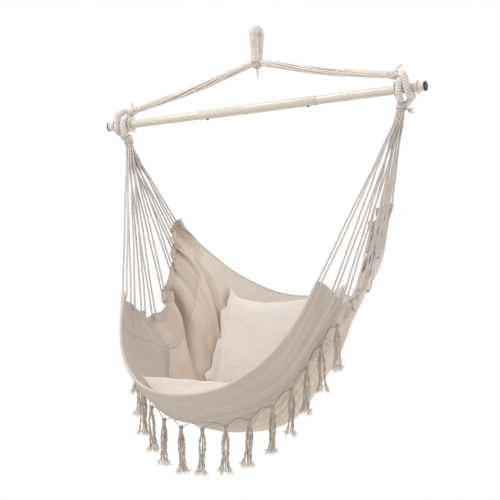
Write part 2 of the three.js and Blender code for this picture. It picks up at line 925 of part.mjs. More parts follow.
// One sewn piece of the cloth: a block of the grid, drawn back by a gap along its seams
function clothPiece(rows, columns) {
  const grid = [];
  const normals = [];
  for (let r = rows[0]; r <= rows[1]; r += 1) {
    grid.push(seatGrid[r].slice(columns[0], columns[1] + 1).map((point) => point.clone()));
    normals.push(seatNormals[r].slice(columns[0], columns[1] + 1));
  }
  const drawBack = (point, towards) => {
    point.addScaledVector(towards.clone().sub(point).normalize(), gap);
  };
  const last = grid.length - 1;
  const end = grid[0].length - 1;
  grid.forEach((line) => {
    if (columns[0] > 0) drawBack(line[0], line[1]);
    if (columns[1] + 1 < seatGrid[0].length) drawBack(line[end], line[end - 1]);
  });
  grid[0].forEach((point, c) => {
    if (rows[0] > 0) drawBack(point, grid[1][c]);
  });
  grid[last].forEach((point, c) => {
    if (rows[1] < rowCells) drawBack(point, grid[last - 1][c]);
  });
  const half = clothThickness / 2;
  return sheetBetween(grid, normals, () => -half, () => half);
}

// Columns of the grid where the hem strips meet the panel
function hemSeams() {
  const outer = columnShares.length - hemSeamColumn;
  return [outer, seatGrid[0].length - 1 - outer];
}

function seatCloth() {
  return finish('seat_cloth', clothPiece([stripSeamRow, rowCells], hemSeams()), canvas);
}

function frontStrip() {
  return finish('front_strip', clothPiece([0, stripSeamRow], hemSeams()), bandCloth);
}

function hemStrip(side) {
  const [first, second] = hemSeams();
  const columns = side < 0 ? [0, first] : [second, seatGrid[0].length - 1];
  const holes = eyelets.map((_, number) => eyeletHole(side, number));
  const strip = cut(clothPiece([0, rowCells], columns), ...holes);
  return finish(`${sideName(side)}_hem_strip`, strip, bandCloth);
}

// Front band

// The band is a straight strip, and the side hem is gathered, so it takes in more rows there
function bandGrid() {
  const shares = [...columnShares.slice(1).reverse().map((t) => -t), ...columnShares];
  const grid = [];
  for (let line = 0; line <= bandLines; line += 1) {
    grid.push(shares.map((across) => {
      const rows = lerp(bandRowShares[0], bandRowShares[1], across * across) * rowCells;
      return clothPoint(across, rows * (line / bandLines));
    }));
  }
  return { grid, normals: gridNormals(grid) };
}

function bandInner(line) {
  const lift = bandLift * (line / bandLines) ** 2;
  return clothThickness / 2 + gap * 2 + lift;
}

function frontBand() {
  const { grid, normals } = bandGrid();
  const band = sheetBetween(grid, normals, bandInner, (line) => bandInner(line) + bandThickness);
  const cloth = sheetBetween(seatGrid, seatNormals, () => -clothThickness, () => clothThickness / 2 + gap);
  return finish('front_band', cut(band, cloth), bandCloth);
}

// Fringe: a cord laced in a zigzag between the band's edge and the tassel heads

function bandEdgeCurve() {
  const { grid, normals } = bandGrid();
  const last = grid.length - 1;
  const offset = bandInner(last) + bandThickness + gap * 3 + fringeCordRadius;
  return new THREE.CatmullRomCurve3(grid[last].map((point, c) => (
    point.clone().addScaledVector(normals[last][c], offset)
  )));
}

function tasselAt(head) {
  const lobes = 4;
  const stations = [
    [tasselHeadRadius, 0],
    [tasselHeadRadius, -tasselHeadRadius * 2],
    [tasselNeckRadius, -tasselHeadRadius * 3],
    [tasselEndRadius, -tasselLength],
  ];
  const rings = stations.map(([radius, drop]) => {
    const ring = [];
    for (let k = 0; k < lobes * 2; k += 1) {
      const angle = (k / (lobes * 2)) * Math.PI * 2;
      const reach = k % 2 === 0 ? radius : radius - fringeCordRadius;
      ring.push(new THREE.Vector3(
        head.x + reach * Math.cos(angle),
        head.y + reach * Math.sin(angle),
        head.z + drop,
      ));
    }
    return ring;
  });
  return skin(rings);
}

function fringe() {
  const edge = bandEdgeCurve();
  const length = edge.getLength();
  const half = (tasselCount - 1) / 2;
  const tasselPitch = (length / 2 - fringeEndInset) / half;
  const route = [];
  const heads = [];
  for (let k = -half; k <= half; k += 1) {
    const share = 0.5 + (k * tasselPitch) / length;
    const nextShare = 0.5 + ((k + 0.5) * tasselPitch) / length;
    const head = edge.getPointAt(share);
    head.z -= fringeDrop;
    heads.push(head);
    route.push(head.clone().setZ(head.z - tasselHeadRadius / 2));
    if (k < half) route.push(edge.getPointAt(nextShare));
  }
  const cord = tube(route, fringeCordRadius, 6);
  return finish('fringe', join(cord, ...heads.map(tasselAt)), cotton);
}

// Cord loops: each rises from the neck to its eyelet, passes through it and comes back

// Seats of the eighteen cord ends on the foot of the neck: twelve round six
function neckSeats(side) {
  const { top, foot } = neckAxis(side);
  const down = foot.clone().sub(top).normalize();
  const front = new THREE.Vector3(0, -1, 0);
  const across = new THREE.Vector3().crossVectors(front, down);
  const seats = [];
  for (const [count, radius, lead] of [[12, neckCordRing, 0.5], [6, neckCordInnerRing, 0]]) {
    for (let k = 0; k < count; k += 1) {
      const angle = ((k + lead) / count) * Math.PI * 2;
      seats.push(foot.clone()
        .addScaledVector(front, radius * Math.cos(angle))
        .addScaledVector(across, radius * Math.sin(angle))
        .addScaledVector(down, gap));
    }
  }
  seats.sort((a, b) => a.y - b.y);
  return { seats, down };
}

function cordLoop(side, number) {
  const { seats, down } = neckSeats(side);
  const pair = seats.slice(number * 2, number * 2 + 2);
  pair.sort((a, b) => (b.x - a.x) * side);
  const { centre, pull, outward } = eyelet(side, number);
  const hub = centre.clone().addScaledVector(pull, cordBendRadius);
  const bend = [];
  for (let i = 0; i <= cordBendSteps; i += 1) {
    const angle = (i / cordBendSteps) * Math.PI;
    bend.push(hub.clone()
      .addScaledVector(outward, cordBendRadius * Math.cos(angle))
      .addScaledVector(pull, -cordBendRadius * Math.sin(angle)));
  }
  const points = [
    pair[0],
    pair[0].clone().addScaledVector(down, cordLead),
    ...bend,
    pair[1].clone().addScaledVector(down, cordLead),
    pair[1],
  ];
  return finish(`${sideName(side)}_cord_loop_${number + 1}`, tube(points, cordRadius, 6), cotton);
}

// Cushions

function crownAt(a, b, fullness) {
  return ((1 - Math.abs(a) ** fullness) * (1 - Math.abs(b) ** fullness)) ** 0.5;
}

function drawnIn(a, b) {
  return [a * (1 - drawnInShare * (1 - b * b)), b * (1 - drawnInShare * (1 - a * a))];
}

// A sewn cushion: two faces that meet in a seam. placeAt(a, b, lift) puts each point.
function cushionGeometry(placeAt, lowAt, highAt) {
  const n = cushionCells;
  const points = [];
  const low = [];
  const high = [];
  for (let r = 0; r <= n; r += 1) {
    low.push([]);
    high.push([]);
    for (let c = 0; c <= n; c += 1) {
      const rawA = Math.sin((c / n - 0.5) * Math.PI);
      const rawB = Math.sin((r / n - 0.5) * Math.PI);
      const [a, b] = drawnIn(rawA, rawB);
      const rim = r === 0 || c === 0 || r === n || c === n;
      low[r].push(points.length);
      points.push(placeAt(a, b, lowAt(rawA, rawB)));
      high[r].push(rim ? low[r][c] : points.length);
      if (!rim) points.push(placeAt(a, b, highAt(rawA, rawB)));
    }
  }
  const faces = [];
  for (let r = 0; r < n; r += 1) {
    for (let c = 0; c < n; c += 1) {
      for (const [map, flip] of [[low, true], [high, false]]) {
        const [p, q, s, t] = [map[r][c], map[r][c + 1], map[r + 1][c + 1], map[r + 1][c]];
        faces.push(flip ? [p, s, q] : [p, q, s], flip ? [p, t, s] : [p, s, t]);
      }
    }
  }
  return closedGeometry(points, faces);
}

// A cushion pressed into the cloth: what would lie beyond the sitter's side of it is cut away
function bedded(geometry) {
  const lift = -clothThickness / 2 - gap;
  const beyond = sheetBetween(seatGrid, seatNormals, () => lift, () => beddingDepth);
  const pieces = toSolid(geometry).subtract(toSolid(beyond)).decompose();
  pieces.sort((a, b) => b.volume() - a.volume());
  return toGeometry(pieces[0]);
}

function seatCushion() {
  const normalAt = (across, row) => {
    const d = 1 / cushionCells / 2;
    const along = clothPoint(across, row + 1).sub(clothPoint(across, row - 1));
    const over = clothPoint(across + d, row).sub(clothPoint(across - d, row));
    return along.cross(over).normalize();
  };
  const placeAt = (a, b, lift) => {
    const back = (b + 1) / 2;
    const across = a * lerp(cushionAcrossShares[0], cushionAcrossShares[1], back);
    const row = lerp(cushionRowShares[0], cushionRowShares[1], back) * rowCells;
    return clothPoint(across, row).addScaledVector(normalAt(across, row), -lift);
  };
  const crown = (a, b) => crownAt(a, b, cushionFullness);
  const geometry = cushionGeometry(
    placeAt,
    (a, b) => seatCushionSeam * (1 - crown(a, b)),
    (a, b) => lerp(seatCushionSeam, seatCushionHeight, crown(a, b)),
  );
  return finish('seat_cushion', bedded(geometry), cushionCloth);
}

function backCushion() {
  const wide = pillowWidth / 2;
  const tall = pillowTall / 2;
  const thick = (a, b) => crownAt(a, b, pillowFullness) * pillowHeight / 2;
  const geometry = cushionGeometry(
    (a, b, lift) => new THREE.Vector3(a * wide, b * tall - pillowSag * (1 - a * a), lift),
    (a, b) => -thick(a, b),
    thick,
  );
  geometry.rotateX(THREE.MathUtils.degToRad(90 - pillowLean));
  geometry.translate(-pillowAside, pillowBack, -pillowDrop);
  return finish('back_cushion', bedded(geometry), cushionCloth);
}

// Assembly. Everything is measured from the bar's axis, which hangs below the origin.

const chair = new THREE.Group();
const bar = new THREE.Group();
bar.position.z = -barDrop;
chair.add(bar);

bar.add(hangEye(), eyeLashing(), middleTube());
for (const side of [-1, 1]) {
  bar.add(endTube(side));
  bar.add(collar('inner_flange', side, halfBar - innerFlangeInset, innerFlangeRadius, innerFlangeWidth));
  bar.add(collar('outer_ring', side, halfBar - outerRingInset, outerRingRadius, outerRingWidth));
  bar.add(endCap(side));
  bar.add(snapButton(side), buttonSpring(side));
  bar.add(sling(side), slingKnot(side), barWrap(side));
  bar.add(neck(side), neckBinding(side), hemStrip(side));
  for (let number = 0; number < eyelets.length; number += 1) {
    bar.add(cordLoop(side, number));
  }
}
bar.add(seatCloth(), frontStrip(), frontBand(), fringe(), seatCushion(), backCushion());

console.log(`least gap of the wound rope to itself: ${leastWrapGap().toFixed(2)} mm`);
console.log(`least gap of the neck binding to itself: ${(bindingPitch - bindingCordRadius * 2).toFixed(2)} mm`);

export default chair;
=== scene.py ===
import math
import random

import bmesh
import bpy
import numpy as np
from bpy.props import FloatProperty, FloatVectorProperty, IntProperty, PointerProperty
from mathutils import Matrix, Vector, noise
from mathutils.bvhtree import BVHTree


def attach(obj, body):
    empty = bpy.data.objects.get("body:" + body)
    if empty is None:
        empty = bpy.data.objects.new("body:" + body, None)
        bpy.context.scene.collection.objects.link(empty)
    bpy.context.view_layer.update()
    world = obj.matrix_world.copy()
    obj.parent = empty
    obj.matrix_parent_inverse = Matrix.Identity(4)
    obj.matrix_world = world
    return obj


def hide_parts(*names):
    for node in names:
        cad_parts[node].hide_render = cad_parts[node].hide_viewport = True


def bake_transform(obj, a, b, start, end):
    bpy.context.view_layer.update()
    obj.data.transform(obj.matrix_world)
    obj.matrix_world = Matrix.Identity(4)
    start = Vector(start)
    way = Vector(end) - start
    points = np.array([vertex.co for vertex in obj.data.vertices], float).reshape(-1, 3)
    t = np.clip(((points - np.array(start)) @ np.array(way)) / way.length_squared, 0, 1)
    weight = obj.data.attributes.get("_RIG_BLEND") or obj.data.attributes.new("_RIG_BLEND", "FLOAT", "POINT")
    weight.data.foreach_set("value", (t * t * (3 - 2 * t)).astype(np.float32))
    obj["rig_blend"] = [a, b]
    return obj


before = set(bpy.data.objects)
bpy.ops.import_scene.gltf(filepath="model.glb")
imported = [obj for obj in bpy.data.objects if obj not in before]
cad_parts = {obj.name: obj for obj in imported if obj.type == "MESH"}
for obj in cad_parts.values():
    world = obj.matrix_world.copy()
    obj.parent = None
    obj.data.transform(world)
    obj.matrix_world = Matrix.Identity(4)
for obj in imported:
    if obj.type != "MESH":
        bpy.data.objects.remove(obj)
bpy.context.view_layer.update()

bl_info = {
    "name": "Hammock Chair",
    "version": (1, 0, 0),
    "blender": (4, 5, 0),
    "location": "View3D > Sidebar > Hammock Chair",
    "description": "Ropes, bar, gathered seat cloth, fringe and cushions of a hammock chair",
    "category": "Add Mesh",
}

# Lengths are in metres. The origin is the inner top of the hang eye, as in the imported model.
MM = 0.001
SIDES = (-1, 1)
SIDE_NAMES = {-1: "left", 1: "right"}
TURN = 2 * math.pi

# Spreader bar, and what sits on it
BAR_DROP = 214 * MM
HALF_BAR = 500 * MM
END_TUBE_RADIUS = 12.2 * MM
TUBE_WALL = 1.2 * MM
MIDDLE_RADIUS = 13.7 * MM
MIDDLE_HALF = 187 * MM
PLUG_LENGTH = 60 * MM
BUTTON_PLACE = 160 * MM
BUTTON_RADIUS = 4 * MM
BUTTON_TIP = 16.7 * MM
BUTTON_FLANGE = 5.4 * MM
GAP = 0.3 * MM
EDGE = 0.8 * MM
# Piece, node, place along the bar and radius of the collars inside and outside the ropes
COLLARS = [
    ("flange", "inner_flange", 419 * MM, 23.5 * MM), ("collar", "outer_ring", 478 * MM, 18.5 * MM),
]
COLLAR_HALF = 1.5 * MM
CUT_TRIES = 12

# Rope at the top
EYE_ROPE = 12 * MM
EYE_ARCH = 19 * MM
EYE_ARCH_HEIGHT = 206.2 * MM
EYE_THROAT = 152 * MM
LASHING_HEIGHT = 128 * MM
LASHING_RADIUS = 17 * MM
TAIL_LENGTH = 28 * MM
SLING_END = (398 * MM, 42.5 * MM)
SLING_RADIUS = 11.2 * MM
SLING_SAG = 7 * MM
KNOT_LENGTH = 34 * MM
KNOT_TURNS = 5
KNOT_ENDS = {-1: ((-0.15, -0.3, 0.95), 19 * MM), 1: ((0.78, -0.2, 0.62), 30 * MM)}
RINGS_PER_RIB = 8
SLEEVE_SIDES = 28

# Sleeved rope wound round each end of the bar
WRAP_ROPE = 10 * MM
WRAP_INNER = 434 * MM
WRAP_OUTER_TOP = 454 * MM
WRAP_OUTER = 460 * MM
WRAP_START = 424 * MM
SECOND_LEG = [(450 * MM, 5 * MM, -36 * MM), (437 * MM, 3 * MM, -48 * MM)]
NECK_SEAT = 38 * MM
NECK_TOP = (433 * MM, -34 * MM)
NECK_FOOT = (427 * MM, -68 * MM)
NECK_RADIUS = 13 * MM
BINDING_TOP = 41 * MM
BINDING_PITCH = 5.1 * MM
BINDING_LOOPS = 3
BINDING_RADIUS = 2.3 * MM

# Seat cloth
HALF_WIDTH = 344 * MM
REACH = 380 * MM
DROP = 886 * MM
HEM_DEPTH = 28 * MM
EYELET_INSET = 12 * MM
CORD_BEND = 5.9 * MM
CORD_RING = 10.5 * MM
CORD_INNER_RING = 5.4 * MM
CORD_LEAD = 7 * MM
EYELETS = [
    (0.849, -0.545, -0.587), (0.878, -0.403, -0.619), (0.889, -0.253, -0.632),
    (0.907, -0.1, -0.636), (0.93, 0.075, -0.575), (0.953, 0.19, -0.472),
    (0.971, 0.232, -0.4), (0.985, 0.262, -0.35), (1, 0.318, -0.316),
]
PROFILE = [
    (-1, -0.896), (-0.72, -0.962), (-0.35, -1), (0, -0.991), (0.29, -0.92),
    (0.526, -0.796), (0.69, -0.677), (0.803, -0.564),
]
ROWS = 18
STRIP_ROW = 7
STRIP_MIDDLE = 0.49
SEAM_ACROSS = 0.89
HEM_ACROSS = 1 + HEM_DEPTH / HALF_WIDTH
CORNER_SHARE = 0.3
SCALLOP_SHARE = 0.3
RUFFLES = [0.2, 0.2, 0.15, -0.08, 0.25, 0.3, 0.35, 0.3]
BAND_ROWS = (0.134, 0.215)
# Grids of the sheets, rows and columns, and how far they reach under their neighbours
PANEL_GRID = (230, 190)
STRIP_GRID = (60, 190)
HEM_GRID = (260, 34)
BAND_GRID = (66, 240)
PANEL_OVERLAP = 0.004
HEM_OVERLAP = 0.012
PANEL_THICKNESS = 1.6 * MM
STRIP_THICKNESS = 2.2 * MM
HEM_THICKNESS = 3 * MM
BAND_THICKNESS = 2 * MM
STRIP_LIFT = -0.8 * MM
STITCH_LENGTH = 3.4 * MM
STITCH_PITCH = 5.2 * MM
STITCH_RADIUS = 0.45 * MM
EYELET_RING = 3.9 * MM
EYELET_THREAD = 1.35 * MM

# Fringe
TASSELS = 15
FRINGE_INSET = 11 * MM
FRINGE_DROP = 14 * MM
LACE_RADIUS = 1 * MM
LACE_LAY = 8 * MM
TASSEL_CORD_LAY = 9 * MM
TASSEL_HEAD = 19 * MM
BRUSHED_LENGTH = 16 * MM
TASSEL_LENGTH = 118 * MM

# Cushions
PILLOW = (390 * MM, 325 * MM, 120 * MM)
PILLOW_PLACE = (-34 * MM, 168 * MM, -616 * MM)
PILLOW_SHIFT = (-8 * MM, 0, -10 * MM)  # the filled pillow settles a little beside its solid
PILLOW_LEAN = 25
PILLOW_SAG = 45 * MM
PILLOW_CELLS = (64, 54)
# The lower left corner is drawn out to the front
PILLOW_EAR = (-10 * MM, -24 * MM, 14 * MM)
SEAT_CUSHION_BLANK = (0.44, 0.36, 0.08)
SEAT_CUSHION_CELLS = (64, 50)
SEAT_CUSHION_HEIGHT = 116 * MM
SEAT_CUSHION_SEAM = 14 * MM
SEAT_CUSHION_ACROSS = (0.56, 0.44)
SEAT_CUSHION_ROWS = (0.065, 0.5)


def a_length(name, description, default):
    return FloatProperty(name=name, description=description, default=default, unit="LENGTH")


def a_color(name, description, default):
    return FloatVectorProperty(
        name=name, description=f"{description}, sRGB", default=default, subtype="COLOR_GAMMA",
    )


def a_count(name, description, default, least):
    return IntProperty(name=name, description=description, default=default, min=least)


class RopeSettings(bpy.types.PropertyGroup):
    cord_radius: a_length("Cord radius", "Radius of the suspension cords", 2.7 * MM)
    cord_lay: a_length("Cord lay", "Length in which a strand of the cord goes once round", 16 * MM)
    rib_pitch: a_length("Sleeve pitch", "Distance between ribs of the gathered sleeve", 5.7 * MM)
    rib_depth: a_length("Sleeve depth", "How deep the hollows between the ribs are", 2.1 * MM)
    sling_cords: a_count("Sling cords", "Cords in each sling", 9, 3)
    color: a_color("Cord colour", "Undyed cotton cord", (0.94, 0.918, 0.905))


class ClothSettings(bpy.types.PropertyGroup):
    thread_spacing: a_length("Thread spacing", "Distance between the drawn threads", 1.6 * MM)
    fold_share: FloatProperty(
        name="Folds", description="How much of their full depth the folds of the seat have",
        default=1.0, min=0, max=1.2,
    )
    rim_radius: a_length("Rim radius", "Radius of the rolled front edge", 3.6 * MM)
    # Both colours are one cotton. The panel's warmer colour is painted light that passes through the single
    # canvas; the doubled cloth's darker, cooler colour is painted shade
    panel_color: a_color("Panel colour", "Single canvas of the seat", (0.875, 0.815, 0.76))
    strip_color: a_color(
        "Doubled cloth colour", "Band, hems and front strip", (0.803, 0.757, 0.728),
    )


class FringeSettings(bpy.types.PropertyGroup):
    strands: a_count("Strands", "Cords that hang in each tassel", 12, 4)
    strand_radius: a_length("Strand radius", "Radius of a tassel's cord", 1.65 * MM)
    color: a_color("Fringe colour", "Natural cotton yarn", (0.905, 0.868, 0.838))


class CushionSettings(bpy.types.PropertyGroup):
    pressure: FloatProperty(
        name="Stuffing", description="Pressure of the stuffing in the simulation", default=4,
    )
    frames: a_count("Frames", "Steps of the cloth simulation", 22, 1)
    color: a_color("Cushion colour", "Cotton cover of both cushions", (0.905, 0.87, 0.845))


class BarSettings(bpy.types.PropertyGroup):
    segments: a_count("Segments", "Steps round the tubes and collars", 64, 12)
    paint_color: a_color("Paint colour", "Powder coat of the bar", (0.89, 0.868, 0.82))


SETTING_GROUPS = {
    "chair_ropes": RopeSettings,
    "chair_cloth": ClothSettings,
    "chair_fringe": FringeSettings,
    "chair_cushions": CushionSettings,
    "chair_bar": BarSettings,
}


# Basic builders


def lerp(a, b, share):
    return a + (b - a) * share


def smooth(value, low, high):
    t = min(max((value - low) / (high - low), 0), 1)
    return t * t * (3 - 2 * t)


def smooth_array(value, low, high):
    t = np.clip((value - low) / (high - low), 0, 1)
    return t * t * (3 - 2 * t)


def from_bar(x, y, z):
    """A point that is measured from the bar's axis."""
    return Vector((x, y, z - BAR_DROP))


def curved(points, per_span=12):
    """The centripetal curve through the points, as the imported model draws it."""
    points = [Vector(p) for p in points]
    ends = [points[0] * 2 - points[1]] + points + [points[-1] * 2 - points[-2]]
    line = []
    for i in range(len(points) - 1):
        p0, p1, p2, p3 = ends[i:i + 4]
        d0, d1, d2 = [max((b - a).length, 1e-9) ** 0.5 for a, b in ((p0, p1), (p1, p2), (p2, p3))]
        t1 = ((p1 - p0) / d0 - (p2 - p0) / (d0 + d1) + (p2 - p1) / d1) * d1
        t2 = ((p2 - p1) / d1 - (p3 - p1) / (d1 + d2) + (p3 - p2) / d2) * d1
        for k in range(per_span):
            t = k / per_span
            line.append(
                p1 * (2 * t**3 - 3 * t**2 + 1) + t1 * (t**3 - 2 * t**2 + t)
                + p2 * (3 * t**2 - 2 * t**3) + t2 * (t**3 - t**2)
            )
    line.append(points[-1].copy())
    return line


def reached_along(points):
    """How far along the line each of its points lies."""
    reached = [0.0]
    for a, b in zip(points, points[1:]):
        reached.append(reached[-1] + (b - a).length)
    return reached


def spaced(points, step):
    """The same line with points about a step apart."""
    reached = reached_along(points)
    count = max(round(reached[-1] / step), 2)
    wanted = np.linspace(0, reached[-1], count + 1)
    axes = [np.interp(wanted, reached, [p[k] for p in points]) for k in range(3)]
    return [Vector(p) for p in zip(*axes)]


def around(centre, one, other, angle, reach):
    """The point at an angle on a circle that two square directions span."""
    return centre + (one * math.cos(angle) + other * math.sin(angle)) * reach


def lowered(point, depth):
    return point - Vector((0, 0, depth))


def carried_frames(points):
    """Each point of a line with two square directions that are carried along without twist."""
    frames = []
    normal = None
    for i, point in enumerate(points):
        heading = (points[min(i + 1, len(points) - 1)] - points[max(i - 1, 0)]).normalized()
        if normal is None:
            normal = heading.orthogonal()
        normal = (normal - heading * normal.dot(heading)).normalized()
        frames.append((point, normal.copy(), heading.cross(normal)))
    return frames


def new_bmesh():
    bm = bmesh.new()
    bm.loops.layers.uv.new("UVMap")
    bm.verts.layers.float.new("hollow")
    return bm


def as_mesh(name, bm):
    mesh = bpy.data.meshes.new(name)
    bm.to_mesh(mesh)
    bm.free()
    return mesh


def join_in(bm, part):
    """Adds a small bmesh to a large one; operators are slow on a large one."""
    mesh = as_mesh("part", part)
    bm.from_mesh(mesh)
    bpy.data.meshes.remove(mesh)


def lay_tube(whole, points, radius_at, sides, turns_per_metre=0.0, crest=0.0, depth=1.0):
    """A grid bent round a line and closed; radius_at(distance, angle) gives its section.
    Where the section is below its crest, the points note how deep in a hollow they lie, for painted shade."""
    bm = new_bmesh()
    uv = bm.loops.layers.uv.verify()
    hollow = bm.verts.layers.float["hollow"]
    frames = carried_frames(points)
    grid = bmesh.ops.create_grid(
        bm, x_segments=sides, y_segments=len(points) - 1, size=0.5, calc_uvs=True,
    )["verts"]
    distance = 0.0
    for j, (centre, normal, other) in enumerate(frames):
        if j:
            distance += (centre - frames[j - 1][0]).length
        for i in range(sides + 1):
            angle = TURN * (i % sides) / sides
            radius = radius_at(distance, angle)
            laid = angle + TURN * turns_per_metre * distance
            vert = grid[j * (sides + 1) + i]
            vert.co = around(centre, normal, other, laid, radius)
            vert[hollow] = min(max((crest - radius) / depth, 0), 1) ** 2
            for loop in vert.link_loops:
                loop[uv].uv = (i / sides, distance)
    last = len(frames) - 1
    seam = {grid[j * (sides + 1) + sides]: grid[j * (sides + 1)] for j in range(last + 1)}
    ends = [grid[j * (sides + 1) + i] for j in (0, last) for i in range(sides)]
    bmesh.ops.weld_verts(bm, targetmap=seam)
    rims = {edge for vert in ends for edge in vert.link_edges if edge.is_boundary}
    bmesh.ops.holes_fill(bm, edges=list(rims), sides=0)
    join_in(whole, bm)


def shown(name, data):
    """A new object in the scene."""
    thing = bpy.data.objects.new(name, data)
    bpy.context.scene.collection.objects.link(thing)
    return thing


def mesh_piece(name, mesh, body, material, nodes=(), sharp=None):
    """A smooth-shaded piece that rides on a body and stands for its solids."""
    mesh.name = name
    mesh.materials.append(material_named(material))
    mesh.shade_smooth()
    if sharp:
        mesh.set_sharp_from_angle(angle=math.radians(sharp))
    piece = shown(name, mesh)
    if body:
        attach(piece, body)
    if nodes:
        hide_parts(*nodes)
    return piece


def facing_out(bm):
    bmesh.ops.recalc_face_normals(bm, faces=bm.faces)
    return bm


def rope_piece(name, bm, body, material, nodes=()):
    return mesh_piece(name, as_mesh(name, facing_out(bm)), body, material, nodes)


def turned(outline, side=1, segments=64, closed=True, edge=EDGE, axis=(1, 0, 0), centre=None):
    """A body of revolution from (place, radius) points, about the bar's axis or another one."""
    bm = new_bmesh()
    axis = Vector(axis)
    centre = from_bar(0, 0, 0) if centre is None else centre
    out = axis.orthogonal().normalized()
    verts = [bm.verts.new(centre + axis * (side * a) + out * r) for a, r in outline]
    pairs = list(zip(verts, verts[1:] + verts[:1]))
    edges = [bm.edges.new(pair) for pair in (pairs if closed else pairs[:-1])]
    bmesh.ops.spin(
        bm, geom=verts + edges, cent=centre, axis=axis, angle=TURN, steps=segments,
        use_merge=True, use_duplicate=False,
    )
    bmesh.ops.remove_doubles(bm, verts=bm.verts, dist=1e-6)
    facing_out(bm)
    corners = [e for e in bm.edges if e.is_manifold and e.calc_face_angle(0) > math.radians(50)]
    if edge and corners:
        bmesh.ops.bevel(
            bm, geom=corners, offset=edge, offset_type="OFFSET", segments=3,
            affect="EDGES", profile=0.5, material=-1, clamp_overlap=True,
        )
    return bm


# Materials


def linear(color):
    """An sRGB hex value or three sRGB shares as a linear colour."""
    if isinstance(color, str):
        color = [int(color[k:k + 2], 16) / 255 for k in (1, 3, 5)]
    return [c / 12.92 if c <= 0.04045 else ((c + 0.055) / 1.055) ** 2.4 for c in color] + [1.0]


def add(tree, kind, inputs=None, **settings):
    """A node with its settings, and its sockets set to values or linked to other sockets."""
    node = tree.nodes.new(kind)
    for name, value in settings.items():
        setattr(node, name, value)
    for name, value in (inputs or {}).items():
        if isinstance(value, bpy.types.NodeSocket):
            tree.links.new(value, node.inputs[name])
        else:
            node.inputs[name].default_value = value
    return node


def emptied(library, name):
    """A new material or world without nodes, and its tree."""
    owner = library.new(name)
    owner.use_nodes = True
    owner.node_tree.nodes.clear()
    return owner, owner.node_tree


def start_material(name, roughness, **shader):
    """A new material with a shader and an output; returns it with its tree and shader."""
    material, tree = emptied(bpy.data.materials, name)
    surface = add(tree, "ShaderNodeBsdfPrincipled", {"Roughness": roughness})
    for socket, value in shader.items():
        surface.inputs[socket.replace("_", " ")].default_value = value
    add(tree, "ShaderNodeOutputMaterial", {"Surface": surface.outputs["BSDF"]})
    return material, tree, surface


def coordinates(tree, kind):
    return add(tree, "ShaderNodeTexCoord").outputs[kind]


def worked_out(tree, operation, *values):
    return add(tree, "ShaderNodeMath", dict(enumerate(values)), operation=operation).outputs[0]


def mixed(tree, share, first, second, **settings):
    inputs = {0: share, 6: first, 7: second}
    return add(tree, "ShaderNodeMix", inputs, data_type="RGBA", **settings).outputs[2]


def ranged(tree, value, low, high, to_low=0.0, to_high=1.0, **settings):
    inputs = {
        "Value": value, "From Min": low, "From Max": high, "To Min": to_low, "To Max": to_high,
    }
    return add(tree, "ShaderNodeMapRange", inputs, **settings).outputs[0]


def clouds(tree, place, scale, detail=2.0, **more):
    inputs = {"Vector": place, "Scale": scale, "Detail": detail, **more}
    return add(tree, "ShaderNodeTexNoise", inputs).outputs["Fac"]


def bumps(tree, height, strength, depth, **more):
    inputs = {"Height": height, "Strength": strength, "Distance": depth, **more}
    return add(tree, "ShaderNodeBump", inputs).outputs["Normal"]


def tinted(color, *shares):
    """The linear colour times one share, or times a share for each channel."""
    channels = shares * 3 if len(shares) == 1 else shares
    return [min(c * k, 1) for c, k in zip(linear(color), channels)] + [1]


def woven_cotton(name, color, spacing, weave_bump=0.3, painted_sheen=None):
    """Plain-woven cotton canvas: dull and slightly furry, with thick and thin threads.
    The real threads are about 0.7 mm apart; they are drawn coarser so that they show.
    Past a place the cloth is painted paler and cooler, standing in for sheen; the last
    argument is the start and end of that place in metres."""
    material, tree, surface = start_material(
        name, 0.94, Sheen_Weight=0.18, Sheen_Roughness=0.6, Specular_IOR_Level=0.25,
    )
    place = coordinates(tree, "UV")
    axes = add(tree, "ShaderNodeSeparateXYZ", {"Vector": place})
    threads, widths = [], []
    for axis, stretch in (("X", (1, 0.06, 1)), ("Y", (0.06, 1, 1))):
        # The thickness of one thread changes slowly along it
        along = add(tree, "ShaderNodeMapping", {"Vector": place, "Scale": stretch})
        widths.append(clouds(tree, along.outputs["Vector"], 1 / (spacing * 2), 1.0))
        phase = worked_out(tree, "MULTIPLY", axes.outputs[axis], TURN / spacing)
        wave = worked_out(tree, "SINE", phase)
        threads.append(worked_out(tree, "MULTIPLY_ADD", wave, 0.5, 0.5))
    weave = worked_out(tree, "MULTIPLY", *threads)
    uneven = worked_out(tree, "MULTIPLY", *widths)
    yarn = mixed(tree, ranged(tree, uneven, 0.1, 0.42), tinted(color, 0.94), tinted(color, 1.03))
    stain = ranged(tree, clouds(tree, place, 9.0, 4.0), 0.42, 0.7, to_high=0.5)
    shade = mixed(tree, stain, yarn, tinted(color, 1.02, 0.97, 0.91))
    # Painted sheen: past a place along the cloth its colour is made paler and cooler
    if painted_sheen:
        share = ranged(tree, axes.outputs["Y"], *painted_sheen)
        shade = mixed(tree, share, shade, (1.03, 1.075, 1.15, 1), blend_type="MULTIPLY")
    tree.links.new(shade, surface.inputs["Base Color"])
    thick_threads = worked_out(tree, "MULTIPLY_ADD", uneven, 1.05, weave)
    fine = bumps(tree, thick_threads, weave_bump, 0.4 * MM)
    crease = clouds(tree, place, 17.0, 3.5, Roughness=0.55, Distortion=1.2)
    tree.links.new(bumps(tree, crease, 0.5, 9 * MM, Normal=fine), surface.inputs["Normal"])
    return material


